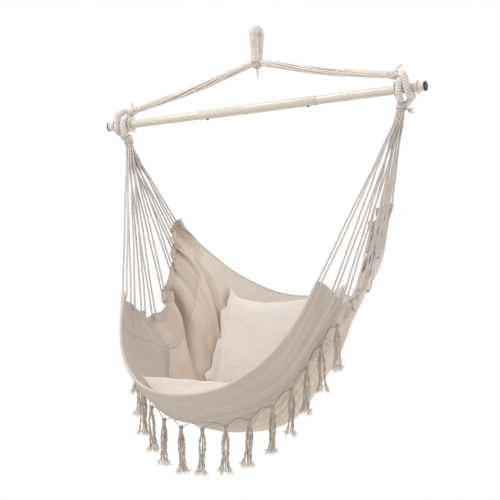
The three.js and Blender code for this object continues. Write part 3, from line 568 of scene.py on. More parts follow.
def spun_cotton(name, color, fibre_twist, depth=0.5, hollow_shade=0.88, dust=0.9):
    """Undyed cotton yarn, spun and laid or gathered: matt and slightly furry, with painted
    shade in the hollows between the strands. fibre_twist is how many fibres cross each
    millimetre; the argument after depth is how much of its brightness a hollow keeps under
    the painted shade, and dust is how much a dusty patch keeps."""
    material, tree, surface = start_material(
        name, 0.93, Sheen_Weight=0.2, Sheen_Roughness=0.55, Specular_IOR_Level=0.25,
    )
    axes = add(tree, "ShaderNodeSeparateXYZ", {"Vector": coordinates(tree, "UV")})
    # Fibres lie aslant; they are drawn about ten times as coarse as they are
    turn = worked_out(tree, "MULTIPLY", axes.outputs["X"], TURN * 14)
    phase = worked_out(tree, "MULTIPLY_ADD", axes.outputs["Y"], TURN * fibre_twist / MM, turn)
    fibre = worked_out(tree, "SINE", phase)
    hollow = add(
        tree, "ShaderNodeAttribute", attribute_name="hollow", attribute_type="GEOMETRY",
    ).outputs["Fac"]
    place = coordinates(tree, "Object")
    stain = ranged(tree, clouds(tree, place, 60.0, 3.0), 0.35, 0.65)
    clean = mixed(tree, stain, tinted(color, dust, dust - 0.02, dust - 0.04), tinted(color, 1.06))
    # Painted shade: the hollows between the strands, and between the sleeve's ribs, are darkened
    shade = mixed(tree, hollow, clean, tinted(color, hollow_shade, hollow_shade * 0.93, hollow_shade * 0.87))
    tree.links.new(shade, surface.inputs["Base Color"])
    fuzzy = worked_out(tree, "MULTIPLY_ADD", clouds(tree, place, 900.0), 1.2, fibre)
    tree.links.new(bumps(tree, fuzzy, depth, 0.2 * MM), surface.inputs["Normal"])
    return material


def powder_coated_steel(color):
    """Steel tube sprayed with powder and baked: satin, with a fine orange-peel surface."""
    material, tree, surface = start_material(
        "powder_coated_steel", 0.15, IOR=1.5, Specular_IOR_Level=0.5,
    )
    place = coordinates(tree, "Object")
    dust = clouds(tree, place, 14.0, 5.0)
    tree.links.new(ranged(tree, dust, 0.35, 0.75, 0.13, 0.19), surface.inputs["Roughness"])
    shade = mixed(tree, ranged(tree, dust, 0.3, 0.8), linear(color), tinted(color, 0.97))
    tree.links.new(shade, surface.inputs["Base Color"])
    # The real peel is about 1 mm across and is drawn at 2 mm
    peel = clouds(tree, place, 500.0, 1.5)
    tree.links.new(bumps(tree, peel, 0.02, 0.4 * MM), surface.inputs["Normal"])
    return material


def moulded_rubber():
    """Injection-moulded cap: dark, dull and finely pebbled."""
    material, tree, surface = start_material("moulded_rubber", 0.62, IOR=1.5)
    place = coordinates(tree, "Object")
    dust = clouds(tree, place, 80.0, 4.0)
    shade = mixed(tree, dust, linear("#1c2322"), linear("#2a3230"))
    tree.links.new(shade, surface.inputs["Base Color"])
    pebble = add(tree, "ShaderNodeTexVoronoi", {"Vector": place, "Scale": 900.0})
    relief = bumps(tree, pebble.outputs["Distance"], 0.2, 0.4 * MM)
    tree.links.new(relief, surface.inputs["Normal"])
    return material


def zinc_plated_steel():
    """Spring steel with bright zinc: metallic, a little cloudy, with fine rolling lines."""
    material, tree, surface = start_material("zinc_plated_steel", 0.34, Metallic=1.0)
    place = coordinates(tree, "Object")
    lines = add(tree, "ShaderNodeMapping", {"Vector": place, "Scale": (60, 2200, 2200)})
    grain = clouds(tree, lines.outputs["Vector"], 1.0)
    tree.links.new(ranged(tree, grain, 0.3, 0.7, 0.28, 0.44), surface.inputs["Roughness"])
    shade = mixed(tree, clouds(tree, place, 220.0, 3.0), linear("#5f6162"), linear("#808180"))
    tree.links.new(shade, surface.inputs["Base Color"])
    return material


def lighter(color, share, most=0.985):
    return [min(c * share, most) for c in color]


MATERIALS = {}


def material_named(name):
    """The chair's materials, each made when it is first used."""
    if name not in MATERIALS:
        scene = bpy.context.scene
        ropes, cloth = scene.chair_ropes, scene.chair_cloth
        spacing = cloth.thread_spacing
        panel, strip, yarn = cloth.panel_color, cloth.strip_color, scene.chair_fringe.color
        makers = {
            # The panel gets painted sheen towards the top of the back
            "woven_panel": lambda: woven_cotton(name, panel, spacing, painted_sheen=(0.4, 0.54)),
            "woven_strip": lambda: woven_cotton(name, strip, spacing),
            # The hem's colour lies between panel and strip, with part of their painted light and shade
            "woven_hem": lambda: woven_cotton(
                name, [lerp(a, b, 0.4) for a, b in zip(panel, strip)], spacing,
            ),
            # Painted highlight: the rolled front edge is the strip's cloth drawn lighter
            "woven_rim_painted_highlight": lambda: woven_cotton(name, lighter(strip, 1.16, 0.93), spacing),
            "woven_cover": lambda: woven_cotton(
                name, scene.chair_cushions.color, spacing, weave_bump=0.25,
            ),
            # Painted shade: the cords, lashing and bindings are drawn a little darker than the rope colour,
            # for the shade among the crowded cords
            "laid_cord_painted_shade": lambda: spun_cotton(name, lighter(ropes.color, 0.975), 0.35),
            # Painted light: the slings and their knots are the same cotton as the other cords, drawn lighter
            # with less hollow shade and fewer dusty patches, to make up for the shade among their crowded
            # cords
            "sling_cord_painted_light": lambda: spun_cotton(
                name, lighter(ropes.color, 1.05), 0.35, depth=0.3, hollow_shade=0.97, dust=0.98,
            ),
            # The gathered sleeve gets deep painted shade between its ribs
            "gathered_sleeve": lambda: spun_cotton(name, ropes.color, 0.1, depth=0.7, hollow_shade=0.6),
            "fringe_yarn": lambda: spun_cotton(name, yarn, 0.4),
            "brushed_yarn": lambda: spun_cotton(name, lighter(yarn, 1.09), 0.4, dust=0.97),
            "waxed_thread": lambda: spun_cotton(name, "#b3a294", 0.8),
            "sewing_thread": lambda: spun_cotton(name, "#cfc3b6", 0.8),
            "powder_coated_steel": lambda: powder_coated_steel(scene.chair_bar.paint_color),
            "moulded_rubber": moulded_rubber,
            "zinc_plated_steel": zinc_plated_steel,
        }
        MATERIALS[name] = makers[name]()
    return MATERIALS[name]


# Ropes


def gathered_section(radius, pitch, depth, seed=0.0):
    """Section of a rope in a gathered sleeve: round ribs that run round it, a little unevenly."""
    def section(distance, angle):
        drift = 0.22 * noise.noise(Vector((distance * 60, seed, math.cos(angle))))
        wave = abs(math.sin(math.pi * (distance / pitch + drift) - angle / 2))
        return radius - depth * (1 - wave ** 0.55)
    return section


def lay_sleeve(bm, points, radius, seed):
    """A rope in its gathered sleeve along a line."""
    ropes = bpy.context.scene.chair_ropes
    section = gathered_section(radius, ropes.rib_pitch, ropes.rib_depth, seed)
    line = spaced(points, ropes.rib_pitch / RINGS_PER_RIB)
    lay_tube(bm, line, section, SLEEVE_SIDES, 0, radius, ropes.rib_depth)


def lay_cord(bm, points, radius=None, lay=None, sides=12, rings_per_lay=8, depth=0.18):
    """A cord of three round strands along a line, like the suspension cords if not told
    otherwise: crests where the strands stand out, hollows between them."""
    ropes = bpy.context.scene.chair_ropes
    radius, lay = radius or ropes.cord_radius, lay or ropes.cord_lay

    def section(distance, angle):
        return radius * (1 - depth * (0.5 - 0.5 * math.cos(3 * angle)))

    line = spaced(points, lay / rings_per_lay)
    lay_tube(bm, line, section, sides, 1 / lay, radius, radius * depth)


def waved(points, amount, seed, wave_length=0.11):
    """The line with the gentle wander of a cord that isn't stretched tight; its ends stay."""
    reached = reached_along(points)
    result = []
    for point, place in zip(points, reached):
        held = min(max(min(place, reached[-1] - place) / 0.05, 0), 1)
        drift = noise.noise_vector(Vector((place / wave_length, seed * 7.3, 0.5)))
        result.append(point + drift * amount * held)
    return result


def eye_line():
    leg = 10 * MM + GAP
    points = [(0, -leg, LASHING_HEIGHT), (0, -leg, EYE_THROAT)]
    for i in range(9):
        angle = math.pi * (1 - i / 8)
        points.append((0, EYE_ARCH * math.cos(angle), EYE_ARCH_HEIGHT + EYE_ARCH * math.sin(angle)))
    points += [(0, leg, EYE_THROAT), (0, leg, LASHING_HEIGHT)]
    return curved([from_bar(*p) for p in points])


def wound_ball(bm, centre, radius):
    """Cord wound on a ball in three crossing layers, as a lashing is."""
    cord = bpy.context.scene.chair_ropes.cord_radius
    layers = ((0, 4.5, 0.62), (1.15, 2.5, 0.34), (-1.15, 2.5, 0.34))
    for layer, (tilt, turns, reach) in enumerate(layers):
        points = []
        ball = radius - cord * (1.7 - 0.35 * layer)
        steps = int(turns * 28)
        turned_by = Matrix.Rotation(tilt, 3, "X")
        for i in range(steps + 1):
            t = i / steps
            lift = lerp(-reach, reach, t)
            angle = t * turns * TURN
            flat = math.sqrt(1 - lift * lift)
            local = Vector((flat * math.cos(angle), flat * math.sin(angle), lift)) * ball
            points.append(centre + turned_by @ local)
        lay_cord(bm, points)


def sling_line(side):
    start = from_bar(side * 13 * MM, 0, LASHING_HEIGHT)
    end = from_bar(side * SLING_END[0], 0, SLING_END[1])
    return curved([start, lowered(start.lerp(end, 0.5), SLING_SAG), end], 24)


def wrap_point(side, turn):
    """The wound rope's middle line after so many turns round the bar."""
    close = END_TUBE_RADIUS + GAP + WRAP_ROPE + GAP
    over = close + WRAP_ROPE * 1.6
    away = smooth(turn, 1.2, 1.78)
    radius = lerp(lerp(over, close, smooth(turn, 0.07, 0.24)), NECK_SEAT + WRAP_ROPE * 2, away)
    outer = lerp(WRAP_OUTER_TOP, WRAP_OUTER, smooth(turn, 0.1, 0.45))
    place = lerp(
        lerp(WRAP_START, outer, smooth(turn, -0.1, 0.18)), WRAP_INNER, smooth(turn, 0.5, 1),
    )
    angle = turn * TURN
    return from_bar(side * place, -radius * math.sin(angle), radius * math.cos(angle))


def neck_axis(side):
    """Top and foot of the neck, and the direction from one to the other."""
    top = from_bar(side * NECK_TOP[0], 0, NECK_TOP[1])
    foot = from_bar(side * NECK_FOOT[0], 0, NECK_FOOT[1])
    return top, foot, (foot - top).normalized()


def frayed_tail(bm, start, heading, length, radius, seed, fibres=7, loose=0.42):
    """A short cord end whose yarns spread and curl."""
    rng = random.Random(seed)
    heading = heading.normalized()
    for _ in range(fibres):
        spread = Vector([rng.uniform(-1, 1) for _ in range(3)]) * loose
        curl = Vector([rng.uniform(-1, 1) for _ in range(3)]) * length * loose * 0.33
        reach = length * rng.uniform(0.75, 1.0)
        points = [
            start,
            start + heading * reach * 0.45 + spread * reach * 0.12,
            start + (heading + spread * 0.6) * reach * 0.8 + curl * 0.5,
            start + (heading + spread) * reach + curl,
        ]
        line = spaced(curved(points, 5), reach / 6)
        lay_tube(bm, line, lambda d, a: radius * (1 - 0.5 * d / reach), 4)


class CHAIR_OT_hang_eye(bpy.types.Operator):
    """Make the hang eye, its lashing and the short cord end"""

    bl_idname = "chair.hang_eye"
    bl_label = "Hang eye and lashing"

    def execute(self, context):
        bm = new_bmesh()
        lay_sleeve(bm, eye_line(), EYE_ROPE, 1.0)
        rope_piece("sleeved_hang_eye", bm, "hanger", "gathered_sleeve", ["hang_eye"])

        bm = new_bmesh()
        centre = from_bar(0, 0, LASHING_HEIGHT)
        bmesh.ops.create_uvsphere(
            bm, u_segments=32, v_segments=20, radius=LASHING_RADIUS * 0.86,
            matrix=Matrix.Translation(centre), calc_uvs=True,
        )
        wound_ball(bm, centre, LASHING_RADIUS)
        top = lowered(centre, LASHING_RADIUS * 0.8)
        end = top + Vector((2.5 * MM, 0, -TAIL_LENGTH * 0.62))
        lay_cord(bm, curved([top, top.lerp(end, 0.5) + Vector((MM, 0, 0)), end]))
        frayed_tail(bm, end, Vector((0.08, 0.02, -1)), 12 * MM, 0.9 * MM, 5)
        rope_piece("wound_lashing", bm, "lashing", "laid_cord_painted_shade", ["eye_lashing"])
        return {"FINISHED"}


class CHAIR_OT_slings(bpy.types.Operator):
    """Make the two cord slings and the knots at their ends"""

    bl_idname = "chair.slings"
    bl_label = "Slings and knots"

    def execute(self, context):
        ropes = context.scene.chair_ropes
        radius = ropes.cord_radius * 1.15
        core = ropes.sling_cords - 1
        for side, name in SIDE_NAMES.items():
            bm = new_bmesh()
            line = spaced(sling_line(side), 5 * MM)
            frames = carried_frames(line)
            for k in range(ropes.sling_cords):
                points = []
                for i, (centre, normal, other) in enumerate(frames):
                    share = i / (len(frames) - 1)
                    reach = (SLING_RADIUS - radius) * (0.86 + 0.14 * math.sin(share * math.pi))
                    angle = TURN * (k / core + 0.45 * side * share)
                    angle += 0.3 * noise.noise(Vector((share * 3, k * 5.1, side)))
                    points.append(around(centre, normal, other, angle, reach * (k != core)))
                lay_cord(bm, points, radius)
            rope_piece(f"{name}_sling_cords", bm, "spreader", "sling_cord_painted_light", [f"{name}_sling"])
            self.knot(side, name, line, ropes.cord_radius)
        return {"FINISHED"}

    def knot(self, side, name, line, radius):
        """Cord wound round the sling's end over its own core, with one free end."""
        bm = new_bmesh()
        start = line[-1]
        heading = (start - line[-3]).normalized()
        end = start + heading * KNOT_LENGTH
        core = [start - heading * 4 * MM, start.lerp(end, 0.5), end]
        lay_tube(bm, spaced(core, 3 * MM), lambda d, a: 6.6 * MM, 16)
        normal = heading.orthogonal().normalized()
        other = heading.cross(normal)
        points = []
        steps = KNOT_TURNS * 22
        for i in range(steps + 1):
            t = i / steps
            reach = 8.2 * MM + 1.6 * MM * math.sin(t * math.pi)
            place = start + heading * (KNOT_LENGTH * (0.1 + 0.78 * t))
            points.append(around(place, normal, other, t * KNOT_TURNS * TURN, reach))
        lay_cord(bm, points)
        # The free end stands up higher on the right
        way, reach = KNOT_ENDS[side]
        way = Vector(way).normalized()
        root = start + heading * KNOT_LENGTH * 0.45 + Vector((0, -5 * MM, 3 * MM))
        free = curved([root, lowered(root + way * reach * 0.6, -2 * MM), root + way * reach])
        lay_cord(bm, free, radius * 1.4)
        frayed_tail(bm, free[-1] - way * 2 * MM, way, 5 * MM, 1.1 * MM, 11 + side, fibres=12)
        rope_piece(f"{name}_wound_knot", bm, "spreader", "sling_cord_painted_light", [f"{name}_sling_knot"])


class CHAIR_OT_bar_wraps(bpy.types.Operator):
    """Make the sleeved ropes on the bar, the necks below them and their bindings"""

    bl_idname = "chair.bar_wraps"
    bl_label = "Wound ropes and necks"

    def execute(self, context):
        for side, name in SIDE_NAMES.items():
            line = [wrap_point(side, t) for t in np.linspace(-0.07, 1.5, 150)]
            seat = -BAR_DROP - NECK_SEAT + 2 * MM
            bm = new_bmesh()
            lay_sleeve(bm, [p for p in line if p.z > seat], WRAP_ROPE, 3.0 + side)
            # Behind the outer turn a second leg of the rope runs down into the neck
            leg = [from_bar(side * x, y, z) for x, y, z in SECOND_LEG]
            lay_sleeve(bm, curved([wrap_point(side, 0.5)] + leg), WRAP_ROPE * 0.88, 5.0 + side)
            rope_piece(
                f"{name}_wound_rope", bm, "spreader", "gathered_sleeve", [f"{name}_bar_wrap"],
            )
            self.neck(side, name, context.scene.chair_ropes)
            self.binding(side, name)
        return {"FINISHED"}

    def neck(self, side, name, ropes):
        top, _, down = neck_axis(side)
        start = top - down * 1 * MM
        end = top + down * 18 * MM
        pitch = ropes.rib_pitch * 0.8

        def section(distance, angle):
            base = lerp(WRAP_ROPE, NECK_RADIUS, smooth(distance, 0, 9 * MM))
            return gathered_section(base, pitch, ropes.rib_depth * 0.8, 9.0 + side)(distance, angle)

        bm = new_bmesh()
        line = spaced([start, start.lerp(end, 0.5), end], pitch / RINGS_PER_RIB)
        lay_tube(bm, line, section, SLEEVE_SIDES, 0, NECK_RADIUS, ropes.rib_depth)
        piece = rope_piece(f"{name}_neck_sleeve", bm, None, "gathered_sleeve", [f"{name}_neck"])
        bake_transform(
            piece, "spreader", "seat", start=(top.x, 0, top.z), end=(top.x, 0, top.z - 12 * MM),
        )

    def binding(self, side, name):
        """Cord wound round the neck; on the right it ends in a brushed-out tuft."""
        top, _, down = neck_axis(side)
        front = Vector((0, -1, 0))
        across = down.cross(front)
        begin = top + down * ((BINDING_TOP + NECK_TOP[1]) / -down.z)
        reach = NECK_RADIUS - MM
        points = [
            around(begin + down * (BINDING_PITCH * i / 24), front, across, TURN * i / 24, reach)
            for i in range(BINDING_LOOPS * 24 + 1)
        ]
        bm = new_bmesh()
        lay_cord(bm, points, BINDING_RADIUS)
        tuft = side > 0
        way = Vector((0.84, -0.3, -0.45) if tuft else (-0.7, -0.2, -0.9)).normalized()
        root = begin - across * side * reach + down * BINDING_PITCH * 1.8 if tuft else points[-1]
        end = curved([root, root + way * 3 * MM, root + way * (9 if tuft else 5) * MM])
        lay_cord(bm, end, BINDING_RADIUS * (1.3 if tuft else 0.9))
        frayed_tail(
            bm, end[-1] - way * 4 * MM, way, (20 if tuft else 9) * MM, 1.2 * MM, 21 + side,
            fibres=44 if tuft else 6, loose=0.5,
        )
        rope_piece(f"{name}_neck_winding", bm, "seat", "laid_cord_painted_shade", [f"{name}_neck_binding"])


# Spreader bar


def carved(bm, cutter_bm):
    """The mesh of bm with the cutter's shape cut out of it. Now and then, by chance, the exact
    solver takes the outside for the inside; such a cut has a negative volume and is redone."""
    blank = shown("blank", as_mesh("blank", bm))
    cutter = shown("cutter", as_mesh("cutter", cutter_bm))
    cut = blank.modifiers.new("Cut", "BOOLEAN")
    cut.object = cutter
    cut.operation = "DIFFERENCE"
    cut.solver = "EXACT"
    for _ in range(CUT_TRIES):
        blank.update_tag(refresh={"DATA"})
        bpy.context.view_layer.update()
        shaped = blank.evaluated_get(bpy.context.evaluated_depsgraph_get())
        result = bmesh.new()
        result.from_mesh(shaped.to_mesh())
        shaped.to_mesh_clear()
        if result.calc_volume(signed=True) > 0:
            break
    for thing in (blank, cutter):
        mesh = thing.data
        bpy.data.objects.remove(thing)
        bpy.data.meshes.remove(mesh)
    return result


def button_hole(*sides):
    bm = new_bmesh()
    for side in sides:
        bmesh.ops.create_cone(
            bm, cap_ends=True, segments=32, radius1=BUTTON_RADIUS + GAP,
            radius2=BUTTON_RADIUS + GAP, depth=20 * MM,
            matrix=Matrix.Translation(from_bar(side * BUTTON_PLACE, 0, -14 * MM)),
        )
    return bm


class CHAIR_OT_bar(bpy.types.Operator):
    """Make the three tubes of the bar with its collars, caps and snap buttons"""

    bl_idname = "chair.bar"
    bl_label = "Spreader bar"

    def execute(self, context):
        steps = context.scene.chair_bar.segments
        outer, inner = END_TUBE_RADIUS, END_TUBE_RADIUS - TUBE_WALL
        bore = outer + GAP
        # The ends of the middle tube are rolled in over the end tubes
        roll = 0.6 * MM
        half = [
            (MIDDLE_HALF, bore), (MIDDLE_HALF, MIDDLE_RADIUS - roll),
            (MIDDLE_HALF - roll * 1.5, MIDDLE_RADIUS),
        ]
        outline = [(-MIDDLE_HALF, bore), *half, *[(-a, r) for a, r in half[:0:-1]]]
        self.painted("middle_tube", "bar_middle_tube", carved(
            turned(outline, segments=steps, edge=0.3 * MM), button_hole(*SIDES),
        ))
        for side, name in SIDE_NAMES.items():
            start = MIDDLE_HALF - PLUG_LENGTH
            outline = [(start, inner), (HALF_BAR, inner), (HALF_BAR, outer), (start, outer)]
            self.painted(f"{name}_tube", f"bar_{name}_tube", carved(
                turned(outline, side, steps, edge=0.25 * MM), button_hole(side),
            ))
            for title, node, place, radius in COLLARS:
                near, far = place - COLLAR_HALF, place + COLLAR_HALF
                outline = [(near, bore), (near, radius), (far, radius), (far, bore)]
                self.painted(f"{name}_{title}", f"{name}_{node}", turned(outline, side, steps))
            self.cap(side, name, steps, bore, inner - GAP)
            self.button(side, name, inner)
            spring = bpy.data.objects.get(f"{name}_button_spring")
            if spring:
                for slot in spring.material_slots:
                    slot.material = material_named("zinc_plated_steel")
        return {"FINISHED"}

    def painted(self, title, node, bm):
        title = f"painted_{title}"
        mesh_piece(
            title, as_mesh(title, bm), "spreader", "powder_coated_steel", [node],
            sharp=40,
        )

    def cap(self, side, name, steps, bore, plug):
        face = HALF_BAR + GAP
        back, skirt = HALF_BAR - 12 * MM, HALF_BAR - 2.5 * MM
        outline = [
            (back, 0), (back, plug), (face, plug), (face, bore), (skirt, bore),
            (skirt, 13 * MM), (face + 0.6 * MM, 13 * MM), (face + 1.6 * MM, 11.5 * MM),
            (face + 1.6 * MM, 3 * MM), (face + 1.2 * MM, 0),
        ]
        title = f"moulded_{name}_cap"
        mesh = as_mesh(title, turned(outline, side, steps, closed=False, edge=0.35 * MM))
        mesh_piece(
            title, mesh, "spreader", "moulded_rubber", [f"{name}_end_cap"], sharp=40,
        )

    def button(self, side, name, inner):
        """A snap button: a round tip on a flange that lies against the tube's inside."""
        flange = math.sqrt(inner**2 - BUTTON_FLANGE**2) - GAP
        tip = BUTTON_RADIUS / 2
        outline = [
            (flange - MM, 0), (flange - MM, BUTTON_FLANGE), (flange, BUTTON_FLANGE),
            (flange, BUTTON_RADIUS),
        ]
        for i in range(8):
            angle = i / 8 * math.pi / 2
            outline.append((
                BUTTON_TIP - tip + tip * math.sin(angle), BUTTON_RADIUS * math.cos(angle),
            ))
        title = f"plated_{name}_button"
        mesh = as_mesh(title, turned(
            outline + [(BUTTON_TIP, 0)], 1, 32, closed=False, edge=0, axis=(0, 0, -1),
            centre=from_bar(side * BUTTON_PLACE, 0, 0),
        ))
        mesh_piece(
            title, mesh, f"{name}_button", "zinc_plated_steel",
            [f"{name}_snap_button"], sharp=40,
        )


# Seat cloth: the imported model's surface, read from tables so that it can be drawn finely


def hem_base(row):
    """The place on the eyelet line at a row; the eyelets lie on the odd rows."""
    share = (row - 1) / (ROWS - 2)
    last = len(EYELETS) - 1
    points = EYELET_POINTS
    if share < 0:
        return points[0].lerp(points[1], share * last * CORNER_SHARE)
    if share > 1:
        return points[last].lerp(points[last - 1], (1 - share) * last * CORNER_SHARE)
    place = share * (len(EYELET_LINE) - 1)
    i = min(int(place), len(EYELET_LINE) - 2)
    return EYELET_LINE[i].lerp(EYELET_LINE[i + 1], place - i)


def hem_frame(row):
    """That place, the way to the neck and the way out of the cloth, all on the right side."""
    base = hem_base(row)
    pull = (neck_axis(1)[1] - base).normalized()
    along = (hem_base(min(row + 1, ROWS)) - hem_base(max(row - 1, 0))).normalized()
    outward = along.cross(pull).normalized()
    if outward.x < 0:
        outward.negate()
    return base, pull, outward


EYELET_POINTS = [from_bar(x * HALF_WIDTH, y * REACH, z * DROP) for x, y, z in EYELETS]
EYELET_LINE = curved(EYELET_POINTS, 40)
PROFILE_LINE = spaced(curved([from_bar(0, y * REACH, z * DROP) for y, z in PROFILE], 40), MM)
TABLE_ROWS = np.linspace(0, ROWS, 1441)


def hem_tables():
    """The edge of the hem, its seam and the unruffled seam on every row of the tables."""
    edge, seam, plain = [], [], []
    for row in TABLE_ROWS:
        base, pull, outward = hem_frame(row)
        spacing = (hem_base(max(row - 1, 0)) - hem_base(min(row + 1, ROWS))).length / 2
        loose = math.sin((row - 1) * math.pi / 2) ** 2 * spacing
        space = min(max(int(math.floor((row - 1) / 2)), 0), len(RUFFLES) - 1)
        ruffle = outward * (RUFFLES[space] * loose)
        edge.append(base - pull * SCALLOP_SHARE * loose + ruffle)
        seam.append(base - pull * (HEM_DEPTH + SCALLOP_SHARE * loose) + ruffle)
        plain.append(base - pull * HEM_DEPTH)
    return [np.array([tuple(p) for p in line]) for line in (edge, seam, plain)]


HEM_EDGE, HEM_SEAM, HEM_PLAIN = hem_tables()
PROFILE_TABLE = np.array([tuple(p) for p in PROFILE_LINE])


def read_rows(table, row):
    return np.stack([np.interp(row, TABLE_ROWS, table[:, k]) for k in range(3)], axis=-1)


def cloth_surface(across, row):
    """Middle surface of the cloth, without folds. across is -1 to 1 between the side hems."""
    across, row = np.broadcast_arrays(np.asarray(across, float), np.asarray(row, float))
    side = np.where(across < 0, -1.0, 1.0)
    beyond = np.clip((np.abs(across) - 1) / (HEM_ACROSS - 1), 0, 1)
    t = np.clip(np.abs(across), 0, 1)
    v = np.clip(row / ROWS, 0, 1)
    lengths = np.linspace(0, 1, len(PROFILE_TABLE))
    middle = np.stack([np.interp(v, lengths, PROFILE_TABLE[:, k]) for k in range(3)], axis=-1)
    plain = read_rows(HEM_PLAIN, row)
    hem = read_rows(HEM_SEAM, row)
    pinch = 0.8 * np.sin(v**1.4 * np.pi)
    bulge = 0.27 + (0.1 - 0.27) * v + pinch * 0.12
    rise = t ** (2.3 + (2 - 2.3) * v)
    reach = t ** (2.1 + (2.7 - 2.1) * v)
    fold = t**4
    width = (1 + bulge) * t - (bulge + pinch) * t**3 + pinch * t**5
    x = plain[..., 0] * width + (hem[..., 0] - plain[..., 0]) * fold
    y = lerp(middle[..., 1], plain[..., 1], reach) + (hem[..., 1] - plain[..., 1]) * fold
    z = lerp(middle[..., 2], plain[..., 2], rise) + (hem[..., 2] - plain[..., 2]) * fold
    point = np.stack([x, y, z], axis=-1)
    edge = read_rows(HEM_EDGE, row)
    point = point + (edge - point) * (beyond[..., None] > 0) * beyond[..., None]
    point[..., 0] *= side
    return point


def cloth_normals(across, row):
    """Unit directions away from the sitter."""
    da, dr = 0.006, 0.06
    along = cloth_surface(across, np.minimum(row + dr, ROWS)) - cloth_surface(
        across, np.maximum(row - dr, 0)
    )
    over = cloth_surface(np.minimum(across + da, HEM_ACROSS), row) - cloth_surface(
        np.maximum(across - da, -HEM_ACROSS), row
    )
    normal = np.cross(along, over)
    return normal / np.maximum(np.linalg.norm(normal, axis=-1, keepdims=True), 1e-12)


def band_row(across):
    """Row at which the band ends, deepest at the sides."""
    return lerp(*BAND_ROWS, across**2) * ROWS


def seam_row(across):
    """Row on which the front strip ends. It lies deeper under the middle of the seat, and on
    the right it runs just behind the band."""
    spread = np.minimum(np.abs(across) / SEAM_ACROSS, 1) ** 2
    row = STRIP_ROW * (STRIP_MIDDLE + (1 - STRIP_MIDDLE) * spread)
    row = row + 2.4 * np.exp(-(((across + 0.06) / 0.26) ** 2))
    band = band_row(across) + 0.25
    hidden = smooth_array(across, 0.24, 0.44) * (1 - smooth_array(across, 0.76, SEAM_ACROSS))
    return row + (band - row) * hidden


def noise_field(across, row, scale, seed):
    """Smooth random values at the given grid positions."""
    flat = [
        noise.noise(Vector((a * scale, r / ROWS * scale * 1.6, seed)))
        for a, r in zip(np.ravel(across), np.ravel(row))
    ]
    return np.array(flat).reshape(np.shape(across))


# Pleats: side, then share across, row, depth and half width (in rows) along the pleat
PLEATS = [
    (-1, (0.5, 0.65, 0.8, 0.93, 1.08), (8.7, 9.0, 9.2, 9.9, 10.1),
     (0, 9 * MM, 20 * MM, 40 * MM, 24 * MM), (0.5, 0.45, 0.4, 0.36, 0.36)),
    (-1, (0.45, 0.63, 0.8, 0.95), (12.2, 13.0, 14.3, 15.2),
     (0, 12 * MM, 11 * MM, 0), (0.5, 0.5, 0.45, 0.4)),
    (-1, (0.35, 0.6, 0.8, 0.95), (5.6, 5.8, 6.2, 6.6),
     (0, 8 * MM, 9 * MM, 0), (0.5, 0.45, 0.4, 0.4)),
    (1, (0.4, 0.6, 0.8, 0.95), (7.4, 7.8, 8.2, 8.4),
     (0, 12 * MM, 16 * MM, 10 * MM), (0.5, 0.45, 0.45, 0.4)),
    (1, (0.3, 0.55, 0.8, 0.95), (11.0, 11.8, 12.6, 13.0),
     (0, 10 * MM, 14 * MM, 10 * MM), (0.6, 0.5, 0.45, 0.4)),
]
# Lobes of the hem between the eyelets: side, row, half width, how far out (away from the sitter)
LOBES = [
    (-1, 2.0, 0.8, 6 * MM), (-1, 4.0, 0.8, -8 * MM), (-1, 6.0, 0.8, 7 * MM),
    (-1, 8.9, 0.6, -24 * MM), (-1, 12.2, 0.7, -16 * MM), (-1, 14.1, 0.75, -30 * MM),
    (-1, 16.1, 0.6, 12 * MM), (-1, 17.7, 0.6, -20 * MM),
    (1, 4.0, 0.8, 8 * MM), (1, 6.0, 0.7, -16 * MM), (1, 8.0, 0.9, -34 * MM),
    (1, 10.0, 0.75, -30 * MM), (1, 12.0, 0.75, -42 * MM), (1, 14.0, 0.75, -46 * MM),
    (1, 16.0, 0.7, -34 * MM), (1, 17.6, 0.5, 10 * MM),
]

# How far the folds reach that have no list of their own
TIGHTENING = 25 * MM
CREASES = 3 * MM
GATHERS = 2 * MM
BROAD_UNEVENNESS = 6 * MM
FINE_UNEVENNESS = 1.6 * MM
BACK_SLACK = 56 * MM
HEM_RISE = 13 * MM


